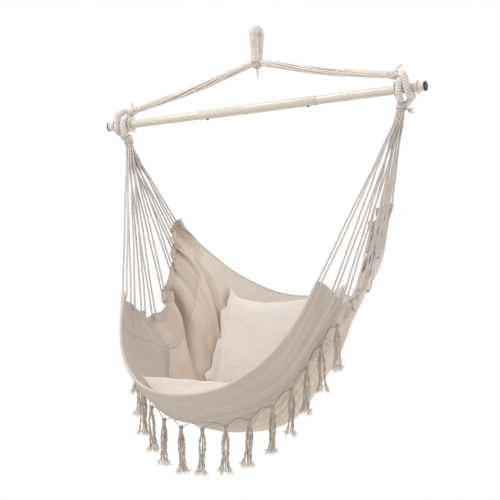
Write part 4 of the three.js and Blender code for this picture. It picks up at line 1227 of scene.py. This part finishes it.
def fold_depths(across, row):
    """How far the cloth stands out from its plain surface, away from the sitter."""
    t = np.abs(across)
    total = np.zeros(np.shape(across))
    for side, shares, lines, depths, widths in PLEATS:
        x = (row - np.interp(t, shares, lines)) / np.interp(t, shares, widths)
        deep = np.interp(t, shares, depths) * (across * side > 0) * smooth_array(t, 0.3, 0.5)
        # The cloth beside a pleat rises towards the sitter
        total += deep * (np.exp(-x * x) - 0.3 * np.exp(-((np.abs(x) - 2.1) ** 2)))
    for side, line, width, depth in LOBES:
        bulge = np.exp(-(((row - line) / width) ** 2)) * smooth_array(t, 0.84, 1.06)
        total += depth * bulge * (across * side > 0)
    # The right side is drawn tighter behind the front corner
    tight = np.exp(-(((row - 9.2) / 2.5) ** 2)) * (across > 0)
    total -= TIGHTENING * tight * smooth_array(t, 0.3, 0.62) * (1 - smooth_array(t, 0.9, 1.06))
    # Creases beside the front seam, where the right side is pulled aslant
    bent = noise_field(across, row, 2.2, 31.0)
    ripple = np.sin(row * 6.5 + bent * 5) + 0.7 * np.sin(row * 14 + bent * 9 + t * 5)
    beside = np.exp(-(((row - seam_row(across) - 2.4) / 2.0) ** 2)) * (across > 0)
    beside = beside * smooth_array(t, 0.15, 0.4) * (1 - smooth_array(t, 0.85, 1))
    total += CREASES * ripple * beside
    # Gathers run in from the eyelets and die away
    drift = noise_field(across, row, 3.0, 8.0)
    gather = np.cos((row - 1) * np.pi + drift * 2.6) + 0.4 * np.cos(row * np.pi * 2.3 + drift * 6)
    fading = smooth_array(t, 0.6, 0.95) * (1 - smooth_array(t, 0.97, 1.08) * 0.5)
    total += GATHERS * gather * fading
    total += BROAD_UNEVENNESS * noise_field(across, row, 3.4, 1.0) * smooth_array(t, 0.1, 0.5)
    total += FINE_UNEVENNESS * noise_field(across, row, 13.0, 4.0)
    # The front edge is a taut roll and the back edge hangs free
    held = 0.25 + 0.75 * smooth_array(row, 0.0, 2.2)
    return total * held * bpy.context.scene.chair_cloth.fold_share


def cloth_points(across, row, lift=0.0):
    """The folded cloth; lift moves the points away from the sitter."""
    normal = cloth_normals(across, row)
    depth = fold_depths(across, row) + lift
    points = cloth_surface(across, row) + normal * np.expand_dims(depth, -1)
    # Behind the right shoulder the free edge of the back hangs lower than on the left
    slack = smooth_array(across, 0.2, 0.5) * (1 - smooth_array(across, 0.8, 1.0))
    points[..., 2] -= BACK_SLACK * slack * smooth_array(row, 11.5, ROWS)
    # The hem stands higher between the two foremost eyelets
    upward = read_rows(HEM_EDGE, row) - read_rows(HEM_SEAM, row)
    upward /= np.linalg.norm(upward, axis=-1, keepdims=True)
    upward[..., 0] *= np.sign(across)
    high = np.exp(-(((row - 1.9) / 0.8) ** 2)) * smooth_array(np.abs(across), 1.0, HEM_ACROSS)
    return points + upward * np.expand_dims(HEM_RISE * high, -1)


def sheet_bmesh(points, size):
    """A sheet whose grid lies at the given points; size is its flat width and length."""
    rows, columns = points.shape[:2]
    bm = new_bmesh()
    uv = bm.loops.layers.uv.verify()
    grid = bmesh.ops.create_grid(
        bm, x_segments=columns - 1, y_segments=rows - 1, size=0.5, calc_uvs=True,
    )["verts"]
    for vert, place in zip(grid, points.reshape(-1, 3)):
        vert.co = place
    for face in bm.faces:
        for loop in face.loops:
            loop[uv].uv = (loop[uv].uv.x * size[0], loop[uv].uv.y * size[1])
    return bm


def flat_size(points):
    """Mean width and length of a grid of points."""
    across = np.linalg.norm(np.diff(points, axis=1), axis=-1).sum(axis=1).mean()
    along = np.linalg.norm(np.diff(points, axis=0), axis=-1).sum(axis=0).mean()
    return float(across), float(along)


def net(rows, columns, low=-1.0, high=1.0):
    """Places across, from low to high, and shares of the way along, on a grid."""
    return np.broadcast_arrays(
        np.linspace(low, high, columns)[None, :], np.linspace(0, 1, rows)[:, None],
    )


def make_sheet(name, points, thickness, material, nodes):
    """A sheet of cloth with its middle surface at the points; returns it and its flat size."""
    size = flat_size(points)
    mesh = as_mesh(name, sheet_bmesh(points, size))
    piece = mesh_piece(name, mesh, "seat", material, nodes)
    wall = piece.modifiers.new("Thickness", "SOLIDIFY")
    wall.thickness = thickness
    wall.offset = 0
    return piece, size


def edge_roll(name, points, radius, material):
    """A rolled edge of slightly uneven thickness along a line."""
    bm = new_bmesh()

    def section(distance, angle):
        return radius * (1 + 0.16 * noise.noise(Vector((distance * 22, 2.0, math.sin(angle)))))

    lay_tube(bm, spaced([Vector(p) for p in points], 4 * MM), section, 12)
    return rope_piece(name, bm, "seat", material)


def stitches(name, lines):
    """Rows of short raised stitches along lines of (point, normal)."""
    bm = new_bmesh()
    for line in lines:
        points = [Vector(p) for p, _ in line]
        normals = [Vector(n) for _, n in line]
        reached = reached_along(points)

        def end_at(place):
            i = min(int(np.searchsorted(reached, place)), len(points) - 1)
            before = max(i - 1, 0)
            step = max(reached[i] - reached[before], 1e-9)
            share = min(max((place - reached[before]) / step, 0), 1) if i else 0
            return points[before].lerp(points[i], share), normals[i]

        for k in range(int(reached[-1] / STITCH_PITCH)):
            a, at_a = end_at(k * STITCH_PITCH)
            b, at_b = end_at(k * STITCH_PITCH + STITCH_LENGTH)
            high = (a + b) / 2 + (at_a + at_b).normalized() * 0.35 * MM
            lay_tube(bm, [a, high, b], lambda d, angle: STITCH_RADIUS, 5)
    return rope_piece(name, bm, "seat", "sewing_thread")


class CHAIR_OT_seat_cloth(bpy.types.Operator):
    """Make the seat panel, the front strip, the hem strips, the rolled edges and the seams"""

    bl_idname = "chair.seat_cloth"
    bl_label = "Seat cloth"

    def execute(self, context):
        radius = context.scene.chair_cloth.rim_radius
        spread, share = net(*PANEL_GRID)
        across = spread * (SEAM_ACROSS + PANEL_OVERLAP)
        start = seam_row(across)
        panel, size = make_sheet(
            "woven_seat_panel", cloth_points(across, start + (ROWS - start) * share),
            PANEL_THICKNESS, "woven_panel", ["seat_cloth"],
        )
        spread, share = net(*STRIP_GRID)
        across = spread * (SEAM_ACROSS + PANEL_OVERLAP)
        rows = (seam_row(across) + 0.12) * share
        strip, strip_size = make_sheet(
            "doubled_front_strip", cloth_points(across, rows, STRIP_LIFT), STRIP_THICKNESS,
            "woven_strip", ["front_strip"],
        )
        hems = [self.hem(side, name) for side, name in SIDE_NAMES.items()]

        a = np.linspace(-HEM_ACROSS, HEM_ACROSS, 300)
        # The rolled front edge wears the cloth with the painted highlight
        rim = edge_roll(
            "rolled_front_edge", cloth_points(a, np.full(a.shape, 0.0)), radius,
            "woven_rim_painted_highlight",
        )
        back = edge_roll(
            "rolled_back_edge", cloth_points(a, np.full(a.shape, float(ROWS))), 2.0 * MM,
            "woven_panel",
        )
        self.seams()
        self.eyelet_rings()
        return {"FINISHED"}

    def hem(self, side, name):
        """The doubled hem of a side and the fold along its edge."""
        reach, share = net(*HEM_GRID, low=0)
        inner = SEAM_ACROSS - HEM_OVERLAP
        hem, size = make_sheet(
            f"doubled_{name}_hem",
            cloth_points(side * (inner + (HEM_ACROSS - inner) * reach), share * ROWS),
            HEM_THICKNESS, "woven_hem", [f"{name}_hem_strip"],
        )
        # In front of the panel's seam, and all along on the right, it is the strip's cloth
        hem.data.materials.append(material_named("woven_strip"))
        rows, columns = HEM_GRID
        front = round((STRIP_ROW if side < 0 else ROWS) / ROWS * (rows - 1)) * columns
        for polygon in hem.data.polygons:
            polygon.material_index = int(min(polygon.vertices) < front)
        row = np.linspace(0, ROWS, 420)
        edge_roll(
            f"{name}_hem_fold", cloth_points(np.full(row.shape, side * HEM_ACROSS), row),
            1.9 * MM, "woven_hem" if side < 0 else "woven_strip",
        )
        return hem, size

    def seams(self):
        """Stitched lines beside each seam, on the sitter's side and outside."""
        row = np.linspace(0.3, ROWS - 0.3, 300)
        paths = [(np.full(row.shape, side * (SEAM_ACROSS + 0.01)), row, 0, 1.75) for side in SIDES]
        a = np.linspace(-SEAM_ACROSS, SEAM_ACROSS, 240)
        paths.append((a, seam_row(a) + 0.02, STRIP_LIFT, 1.35))
        lines = []
        for across, row, lift, height in paths:
            for face in (-1, 1):
                normal = cloth_normals(across, row) * face
                point = cloth_points(across, row, lift) + normal * height * MM
                lines.append(list(zip(point, normal)))
        stitches("seam_stitches", lines)

    def eyelet_rings(self):
        """Buttonhole stitches round every eyelet."""
        for side, name in SIDE_NAMES.items():
            bm = new_bmesh()
            for number in range(len(EYELETS)):
                base, pull, outward = hem_frame(number * 2 + 1)
                centre = base - pull * EYELET_INSET
                along = pull.cross(outward)
                for face in (-1, 1):
                    points = []
                    level = centre + outward * face * 1.5 * MM
                    for i in range(25):
                        point = around(level, pull, along, TURN * i / 24, EYELET_RING)
                        points.append(Vector((side * point.x, point.y, point.z)))

                    def section(distance, angle):
                        thread = 0.86 + 0.14 * math.sin(distance / (1.5 * MM) * math.pi)
                        return EYELET_THREAD * thread

                    lay_tube(bm, spaced(points, 0.5 * MM), section, 8)
            rope_piece(f"{name}_stitched_eyelets", bm, "seat", "sewing_thread")


# Suspension cords


def cord_seats(side):
    """Where the legs of a side's cords leave the binding, in two rings, from front to back."""
    _, foot, down = neck_axis(side)
    front = Vector((0, -1, 0))
    across = front.cross(down)
    seats = []
    for count, radius, lead in ((12, CORD_RING, 0.5), (6, CORD_INNER_RING, 0)):
        for k in range(count):
            angle = TURN * (k + lead) / count
            seats.append(
                foot + front * radius * math.cos(angle) + across * radius * math.sin(angle)
                + down * GAP
            )
    seats.sort(key=lambda p: p.y)
    return seats, down, foot


def cord_line(side, number):
    """One cord from inside the binding to its eyelet and back."""
    seats, down, foot = cord_seats(side)
    pair = sorted(seats[number * 2:number * 2 + 2], key=lambda p: -p.x * side)
    base, pull, outward = [
        Vector((side * p.x, p.y, p.z)) for p in hem_frame(number * 2 + 1)
    ]
    hub = base - pull * (EYELET_INSET - CORD_BEND)
    bend = []
    for i in range(9):
        angle = math.pi * i / 8
        bend.append(
            hub + outward * CORD_BEND * math.cos(angle) - pull * CORD_BEND * math.sin(angle)
        )
    legs = []
    for k, seat in enumerate(pair):
        radial = seat - foot
        inside = foot - down * 21 * MM + radial * 0.5
        leg = [inside, seat - down * 7 * MM - radial * 0.12, seat + down * CORD_LEAD]
        far = bend[0] if k == 0 else bend[-1]
        for share in (0.1, 0.5, 0.9):
            leg.append(leg[2].lerp(far, share))
        legs.append(leg)
    return curved(legs[0] + bend + legs[1][::-1], 14)


class CHAIR_OT_cords(bpy.types.Operator):
    """Make the nine suspension cords of each side, from the neck through an eyelet and back"""

    bl_idname = "chair.cords"
    bl_label = "Suspension cords"

    def execute(self, context):
        for side, name in SIDE_NAMES.items():
            for number in range(len(EYELETS)):
                bm = new_bmesh()
                line = spaced(cord_line(side, number), 4 * MM)
                line = waved(line, 2.2 * MM, number + side * 20)
                lay_cord(bm, line)
                piece = rope_piece(
                    f"{name}_cord_{number + 1}", bm, "seat", "laid_cord_painted_shade",
                    [f"{name}_cord_loop_{number + 1}"],
                )
        return {"FINISHED"}


# Front band and fringe


def band_points(across, share, lift=0.0):
    """The band outside the cloth; share runs from the rim down to its free edge."""
    rows = band_row(across) * share
    # At its top it lies flush with the rolled edge
    stand_off = 2.7 * MM + 3.8 * MM * smooth_array(share, 0.03, 0.25) + 3 * MM * share**2 + lift
    ripple = noise_field(across, rows * 4.5, 5.0, 11.0)
    aslant = noise_field(across, rows, 2.4, 17.0)
    waves = np.sin(share * 15 + aslant * 4)
    wrinkles = np.sin(share * 36 + aslant * 9 + across * 2) * smooth_array(share, 0.3, 0.75)
    fold = 2.2 * ripple + 1.9 * waves + 1.7 * wrinkles
    return cloth_points(across, rows, stand_off + fold * MM * smooth_array(share, 0.08, 0.4))


class CHAIR_OT_front_band(bpy.types.Operator):
    """Make the doubled band along the front edge"""

    bl_idname = "chair.front_band"
    bl_label = "Front band"

    def execute(self, context):
        across, share = net(*BAND_GRID, -HEM_ACROSS, HEM_ACROSS)
        band, size = make_sheet(
            "doubled_front_band", band_points(across, share), BAND_THICKNESS, "woven_strip",
            ["front_band"],
        )
        a = np.linspace(-HEM_ACROSS, HEM_ACROSS, 300)
        edge = edge_roll(
            "folded_band_edge", band_points(a, np.ones(a.shape)), 1.5 * MM, "woven_strip",
        )
        return {"FINISHED"}


class CHAIR_OT_fringe(bpy.types.Operator):
    """Make the laced cord below the band and the fifteen knotted tassels"""

    bl_idname = "chair.fringe"
    bl_label = "Fringe"

    def execute(self, context):
        settings = context.scene.chair_fringe
        a = np.linspace(-1, 1, 400)
        edge = [Vector(p) for p in band_points(a, np.ones(a.shape), 1.2 * MM)]
        edge = spaced(edge, MM)
        total = reached_along(edge)[-1]
        half = (TASSELS - 1) / 2
        pitch = (total / 2 - FRINGE_INSET) / half

        def on_edge(distance):
            return edge[min(max(round(distance / total * (len(edge) - 1)), 0), len(edge) - 1)]

        lace = new_bmesh()
        heads = []
        for k in range(TASSELS):
            middle = total / 2 + (k - half) * pitch
            head = lowered(on_edge(middle), FRINGE_DROP)
            heads.append(head)
            for direction in (-1, 1):
                top = on_edge(middle + direction * pitch / 2)
                if not 0 < middle + direction * pitch / 2 < total:
                    continue
                sag = lowered(top.lerp(head, 0.5), 0.4 * MM)
                line = curved([lowered(top, -2 * MM), sag, lowered(head, 2 * MM)], 8)
                lay_cord(lace, line, LACE_RADIUS, LACE_LAY, sides=6, rings_per_lay=4)
                self.knot(lace, top, LACE_RADIUS * 2)
        rope_piece("laced_yarn", lace, "seat", "waxed_thread")

        rng = random.Random(7)
        hanging, ends = new_bmesh(), new_bmesh()
        for head in heads:
            self.tassel(hanging, ends, head, settings, rng)
        rope_piece("knotted_tassels", hanging, "seat", "fringe_yarn", ["fringe"])
        rope_piece("brushed_tassel_ends", ends, "seat", "brushed_yarn")
        return {"FINISHED"}

    def knot(self, whole, place, radius):
        bm = new_bmesh()
        bmesh.ops.create_icosphere(
            bm, subdivisions=2, radius=radius, matrix=Matrix.Translation(place), calc_uvs=True,
        )
        join_in(whole, bm)

    def tassel(self, bm, brush, head, settings, rng):
        """A wound head, crimped strands with small knots, and brushed-out ends."""
        radius = settings.strand_radius
        ball = []
        for i in range(60):
            t = i / 59
            angle = t * TURN * 3.2
            lift = lerp(3.5 * MM, -7.5 * MM, t)
            reach = 3.6 * MM + 1.3 * MM * math.sin(t * math.pi)
            ball.append(head + Vector((reach * math.cos(angle), reach * math.sin(angle), lift)))
        lay_cord(bm, ball, 1.5 * MM, TASSEL_CORD_LAY, sides=6, rings_per_lay=5)
        self.knot(bm, lowered(head, 2 * MM), 4.6 * MM)
        sway = Vector((rng.uniform(-1, 1), rng.uniform(-1, 1), 0)) * 5 * MM
        for k in range(settings.strands):
            angle = TURN * (k + rng.uniform(-0.3, 0.3)) / settings.strands
            length = TASSEL_LENGTH * rng.uniform(0.95, 1.0) - TASSEL_HEAD
            spread = rng.uniform(0.35, 1.0)
            out = Vector((math.cos(angle), math.sin(angle), 0))
            points = []
            swirl = rng.uniform(-1.6, 1.6)
            for i in range(15):
                t = i / 14
                way = Matrix.Rotation(swirl * t, 3, "Z") @ out
                reach = lerp(3 * MM, lerp(5 * MM, 9.5 * MM, spread), smooth(t, 0.0, 0.35))
                reach *= 1 - 0.2 * smooth(t, 0.4, 0.75) + 0.12 * math.sin(t * 30 + k * 2.4)
                reach += 3.5 * MM * spread * smooth(t, 0.72, 1)
                points.append(lowered(head + way * reach + sway * t * t, 6 * MM + length * t))
            line = curved(points, 3)
            lay_cord(bm, line, radius, TASSEL_CORD_LAY, sides=6, rings_per_lay=4, depth=0.3)
            if rng.random() < 0.6:
                self.knot(bm, line[int(len(line) * rng.uniform(0.3, 0.75))], radius * 1.75)
            end = line[-1]
            self.knot(bm, end, radius * 1.5)
            frayed_tail(
                brush, lowered(end, -4 * MM), Vector((way.x * 0.35, way.y * 0.35, -1)),
                BRUSHED_LENGTH, 1.15 * MM, rng.randrange(10**6), fibres=11, loose=0.5,
            )


# Cushions


def crown(a, b):
    """Height of a pillow's face as a share of its middle's, at places from -1 to 1."""
    return float(((1 - abs(a) ** 2.5) * (1 - abs(b) ** 2.5)) ** 0.46)


def sewn_pillow(width, depth, height, cells):
    """Two faces of cloth that share their rim, as they lie before they are filled."""
    bm = new_bmesh()
    uv = bm.loops.layers.uv.verify()
    across, along = cells
    for face in (-1, 1):
        grid = bmesh.ops.create_grid(
            bm, x_segments=across, y_segments=along, size=0.5, calc_uvs=True,
        )["verts"]
        for vert in grid:
            a, b = vert.co.x * 2, vert.co.y * 2
            vert.co = (a * width / 2, b * depth / 2, face * height / 2 * crown(a, b))
    bmesh.ops.remove_doubles(bm, verts=[v for v in bm.verts if v.is_boundary], dist=1e-7)
    for face in bm.faces:
        for loop in face.loops:
            loop[uv].uv = (loop[uv].uv.x * width, loop[uv].uv.y * depth)
    bm.verts.index_update()
    rim = [v for v in bm.verts if max(abs(v.co.x) * 2 / width, abs(v.co.y) * 2 / depth) > 0.9999]
    rim.sort(key=lambda v: math.atan2(v.co.y / depth, v.co.x / width))
    return facing_out(bm), [v.index for v in rim]


COVER_CLOTH = {
    "quality": 5, "mass": 0.2, "tension_stiffness": 18, "compression_stiffness": 14,
    "shear_stiffness": 6, "bending_stiffness": 0.35, "use_pressure": True,
}


def vertex_places(mesh):
    return np.array([tuple(v.co) for v in mesh.vertices])


def filled(name, bm, cap):
    """The pillow after the simulation has filled it; no point moves further than cap."""
    settings = bpy.context.scene.chair_cushions
    mesh = as_mesh(name, bm)
    start = vertex_places(mesh)
    piece = shown(name, mesh)
    cloth = piece.modifiers.new("Cloth", "CLOTH")
    for key, value in COVER_CLOTH.items():
        setattr(cloth.settings, key, value)
    cloth.settings.uniform_pressure_force = settings.pressure
    cloth.settings.effector_weights.gravity = 0
    cloth.collision_settings.use_collision = False
    cloth.point_cache.frame_start = 1
    cloth.point_cache.frame_end = settings.frames
    for step in range(1, settings.frames + 1):
        bpy.context.scene.frame_set(step)
    shaped = piece.evaluated_get(bpy.context.evaluated_depsgraph_get())
    moved = vertex_places(shaped.to_mesh()) - start
    shaped.to_mesh_clear()
    reach = np.linalg.norm(moved, axis=1, keepdims=True)
    moved *= np.minimum(1, cap / np.maximum(reach, 1e-9))
    mesh.vertices.foreach_set("co", (start + moved).ravel())
    piece.modifiers.clear()
    bpy.context.scene.frame_set(1)
    points = vertex_places(mesh)
    bpy.data.objects.remove(piece)
    return mesh, points


def fitted(points, width, depth, height):
    """The points scaled so that the pillow has its size again."""
    low, high = points.min(axis=0), points.max(axis=0)
    return (points - (low + high) / 2) / (high - low) * np.array([width, depth, height])


def crumpled(mesh, points, low, fine, seed):
    """The points moved along their normals: soft hollows, and thin creases between them."""
    mesh.vertices.foreach_set("co", points.ravel())
    mesh.update()
    normals = np.array([tuple(v.normal) for v in mesh.vertices])
    depths = []
    for point in points:
        place = Vector(point)
        soft = noise.noise(place * 9 + Vector((seed, 0, 0)))
        crease = 1 - abs(noise.noise(place * 17 + Vector((0, seed, 0)))) * 2
        depths.append(low * soft - fine * max(crease, 0) ** 3)
    return points + normals * np.array(depths)[:, None]


def cushion_piece(name, mesh, points, body):
    """A stuffed cushion that rides on the body of its own name."""
    mesh.vertices.foreach_set("co", points.ravel())
    piece = mesh_piece(name, mesh, body, "woven_cover", [body])
    mesh.update()
    smoother = piece.modifiers.new("Smoother", "SUBSURF")
    smoother.levels = 1
    smoother.render_levels = 1


def piping(name, line, body):
    """The round seam along the rim of a cushion."""
    bm = new_bmesh()
    points = spaced([Vector(p) for p in line + line[:1]], 3 * MM)
    lay_tube(bm, points, lambda d, a: 1.3 * MM, 8)
    return rope_piece(name, bm, body, "woven_cover")


class CHAIR_OT_cushions(bpy.types.Operator):
    """Fill, place and sew the seat cushion and the back cushion"""

    bl_idname = "chair.cushions"
    bl_label = "Cushions"

    def execute(self, context):
        self.back_cushion()
        self.seat_cushion()
        return {"FINISHED"}

    def back_cushion(self):
        width, tall, height = PILLOW
        blank, rim = sewn_pillow(width, tall, height * 0.8, PILLOW_CELLS)
        mesh, points = filled("pillow", blank, 9 * MM)
        points = fitted(points, width, tall, height)
        a = points[:, 0] / (width / 2)
        points[:, 1] -= PILLOW_SAG * (1 - a * a)
        b = points[:, 1] / (tall / 2)
        inner = (1 - np.abs(a) ** 8) * np.clip(1 - np.abs(b) ** 8, 0, 1)
        ear = smooth_array(-a, -0.2, 1.0) * smooth_array(-b, -0.4, 1.0)
        points += np.outer(ear, PILLOW_EAR)
        middle = points * np.array([1, 1, 0]) + np.outer(ear, [0, 0, PILLOW_EAR[2]])
        lean = math.radians(90 - PILLOW_LEAN)
        turn = np.array([
            [1, 0, 0], [0, math.cos(lean), -math.sin(lean)], [0, math.sin(lean), math.cos(lean)],
        ])
        place = np.array(PILLOW_PLACE) + PILLOW_SHIFT - np.array([0, 0, BAR_DROP])
        points = points @ turn.T + place
        middle = middle @ turn.T + place
        # First the pillow bends with the cloth behind it, then its back is pressed flat
        points += self.kept_inside(middle, 9 * MM) - middle
        rough = crumpled(mesh, points, 5 * MM, 2.5 * MM, 3.0)
        points = self.kept_inside(points + (rough - points) * inner[:, None], 3.4 * MM)
        line = [points[i] for i in rim]
        cushion_piece("stuffed_back_cushion", mesh, points, "back_cushion")
        piping("back_cushion_seam", line, "back_cushion")

    def seat_cushion(self):
        blank, rim = sewn_pillow(*SEAT_CUSHION_BLANK, SEAT_CUSHION_CELLS)
        mesh, points = filled("seat_pad", blank, 8 * MM)
        points = fitted(points, 2, 2, 1)
        a, b, lift = points[:, 0], points[:, 1], points[:, 2] + 0.5
        back = (b + 1) / 2
        across = a * lerp(*SEAT_CUSHION_ACROSS, back)
        row = lerp(*SEAT_CUSHION_ROWS, back) * ROWS
        seam = SEAT_CUSHION_SEAM
        high = np.where(
            lift > 0.5, seam + (SEAT_CUSHION_HEIGHT - seam) * (lift - 0.5) * 2,
            seam * (lift * 2) ** 0.8,
        )
        folds = -fold_depths(across, row)
        high = np.maximum(high, folds + 3.2 * MM)
        placed = cloth_surface(across, row) - cloth_normals(across, row) * high[:, None]
        rough = crumpled(mesh, placed, 9 * MM, 5.5 * MM, 8.0)
        placed += (rough - placed) * smooth_array(lift, 0.5, 0.8)[:, None]
        line = [placed[i] for i in rim]
        cushion_piece("stuffed_seat_cushion", mesh, placed, "seat_cushion")
        piping("seat_cushion_seam", line, "seat_cushion")

    def kept_inside(self, points, clearance):
        """Points that would lie in or beyond the cloth are brought to the sitter's side."""
        count = 90
        across, row = np.meshgrid(np.linspace(-1, 1, count), np.linspace(0, ROWS, count))
        grid = cloth_points(across, row)
        normal = cloth_normals(across, row).reshape(-1, 3)
        flat = grid.reshape(-1, 3)
        faces = []
        for r in range(count - 1):
            for c in range(count - 1):
                i = r * count + c
                faces.append((i, i + 1, i + 1 + count, i + count))
        tree = BVHTree.FromPolygons([tuple(p) for p in flat], faces)
        result = points.copy()
        for k, point in enumerate(points):
            near, _, face, distance = tree.find_nearest(Vector(point))
            outward = Vector(normal[faces[face][0]])
            depth = (Vector(point) - near).dot(outward)
            if depth > -clearance:
                result[k] = np.array(near - outward * clearance)
        return result


# Stage


def is_seen(tree):
    """1 where a ray comes from the camera, straight or through a mirror or a pane."""
    path = add(tree, "ShaderNodeLightPath")
    camera, glossy, through = [
        path.outputs[f"Is {kind} Ray"] for kind in ("Camera", "Glossy", "Transmission")
    ]
    return worked_out(tree, "MAXIMUM", worked_out(tree, "MAXIMUM", camera, glossy), through)


def studio_floor():
    """A plain pale floor that turns to the white of the backdrop away from the chair."""
    material, tree = emptied(bpy.data.materials, "studio_floor")
    place = coordinates(tree, "Object")
    reach = add(tree, "ShaderNodeVectorMath", {0: place}, operation="LENGTH").outputs["Value"]
    far = ranged(tree, reach, 1.4, 3.2, interpolation_type="SMOOTHSTEP")
    shade = mixed(tree, clouds(tree, place, 40.0, 4.0), linear("#ecebe8"), linear("#f3f2ef"))
    matt = add(tree, "ShaderNodeBsdfPrincipled", {"Base Color": shade, "Roughness": 0.9})
    white = add(tree, "ShaderNodeEmission", {"Color": (1, 1, 1, 1), "Strength": 1.0})
    share = worked_out(tree, "MULTIPLY", far, is_seen(tree))
    both = add(
        tree, "ShaderNodeMixShader",
        {0: share, 1: matt.outputs["BSDF"], 2: white.outputs["Emission"]},
    )
    add(tree, "ShaderNodeOutputMaterial", {"Surface": both.outputs["Shader"]})
    return material


def studio_world():
    """Soft warm light from all round; the camera sees plain white."""
    world, tree = emptied(bpy.data.worlds, "studio")
    soft = add(tree, "ShaderNodeBackground", {"Color": linear("#fbf9f6"), "Strength": 0.6})
    white = add(tree, "ShaderNodeBackground", {"Color": (1, 1, 1, 1), "Strength": 1.0})
    both = add(
        tree, "ShaderNodeMixShader",
        {0: is_seen(tree), 1: soft.outputs["Background"], 2: white.outputs["Background"]},
    )
    add(tree, "ShaderNodeOutputWorld", {"Surface": both.outputs["Shader"]})
    return world


CAMERA_TURN = math.radians(29.271)
CAMERA_DISTANCE = 3.5
CAMERA_HEIGHT = -1.0395
CAMERA_TILT = math.radians(6.986)
CAMERA_ASIDE = math.radians(0.31)
CAMERA_LENS = 92.84
FLOOR_HEIGHT = -1.62


class CHAIR_OT_stage(bpy.types.Operator):
    """Make the floor, the lights, the world and the camera"""

    bl_idname = "chair.stage"
    bl_label = "Stage"

    def execute(self, context):
        scene = context.scene
        scene.view_settings.view_transform = "Standard"
        bm = new_bmesh()
        bmesh.ops.create_circle(bm, cap_ends=True, segments=96, radius=9, calc_uvs=True)
        for vert in bm.verts:
            vert.co.z = FLOOR_HEIGHT
        mesh = as_mesh("floor", bm)
        mesh.materials.append(studio_floor())
        shown("floor", mesh)

        scene.world = studio_world()

        aim = Vector((0, 0, -0.9))
        for name, place, size, power in (
            ("key_light", (-1.1, -2.1, 2.4), 2.2, 80),
            ("side_light", (3.0, 1.9, 0.4), 2.6, 40),
            ("back_light", (0.2, 2.8, 2.0), 2.4, 24),
        ):
            lamp = bpy.data.lights.new(name, "AREA")
            lamp.size = size
            lamp.energy = power
            light = shown(name, lamp)
            light.location = place
            light.rotation_euler = (aim - Vector(place)).to_track_quat("-Z", "Y").to_euler()

        data = bpy.data.cameras.new("camera")
        data.lens = CAMERA_LENS
        data.sensor_width = 36
        data.clip_end = 60
        camera = shown("camera", data)
        camera.location = (
            CAMERA_DISTANCE * math.sin(CAMERA_TURN), -CAMERA_DISTANCE * math.cos(CAMERA_TURN),
            CAMERA_HEIGHT,
        )
        camera.rotation_euler = (math.pi / 2 + CAMERA_TILT, 0, CAMERA_TURN + CAMERA_ASIDE)
        scene.camera = camera
        return {"FINISHED"}


OPERATORS = [
    CHAIR_OT_stage, CHAIR_OT_cords, CHAIR_OT_hang_eye, CHAIR_OT_slings, CHAIR_OT_bar_wraps,
    CHAIR_OT_bar, CHAIR_OT_seat_cloth, CHAIR_OT_front_band, CHAIR_OT_fringe, CHAIR_OT_cushions,
]


class CHAIR_PT_panel(bpy.types.Panel):
    bl_idname = "CHAIR_PT_panel"
    bl_label = "Hammock Chair"
    bl_space_type = "VIEW_3D"
    bl_region_type = "UI"
    bl_category = "Hammock Chair"

    def draw(self, context):
        for group in SETTING_GROUPS:
            box = self.layout.box()
            settings = getattr(context.scene, group)
            for name in settings.__annotations__:
                box.prop(settings, name)
        for operator in OPERATORS:
            self.layout.operator(operator.bl_idname)


def register():
    for group, kind in SETTING_GROUPS.items():
        bpy.utils.register_class(kind)
        setattr(bpy.types.Scene, group, PointerProperty(type=kind))
    for kind in [*OPERATORS, CHAIR_PT_panel]:
        bpy.utils.register_class(kind)


def unregister():
    for kind in [CHAIR_PT_panel, *reversed(OPERATORS)]:
        bpy.utils.unregister_class(kind)
    for group, kind in SETTING_GROUPS.items():
        delattr(bpy.types.Scene, group)
        bpy.utils.unregister_class(kind)


def main():
    noise.seed_set(5)  # without a seed, noise vectors follow the clock
    register()
    for operator in OPERATORS:
        section, action = operator.bl_idname.split(".")
        getattr(getattr(bpy.ops, section), action)()


if __name__ == "__main__":
    main()
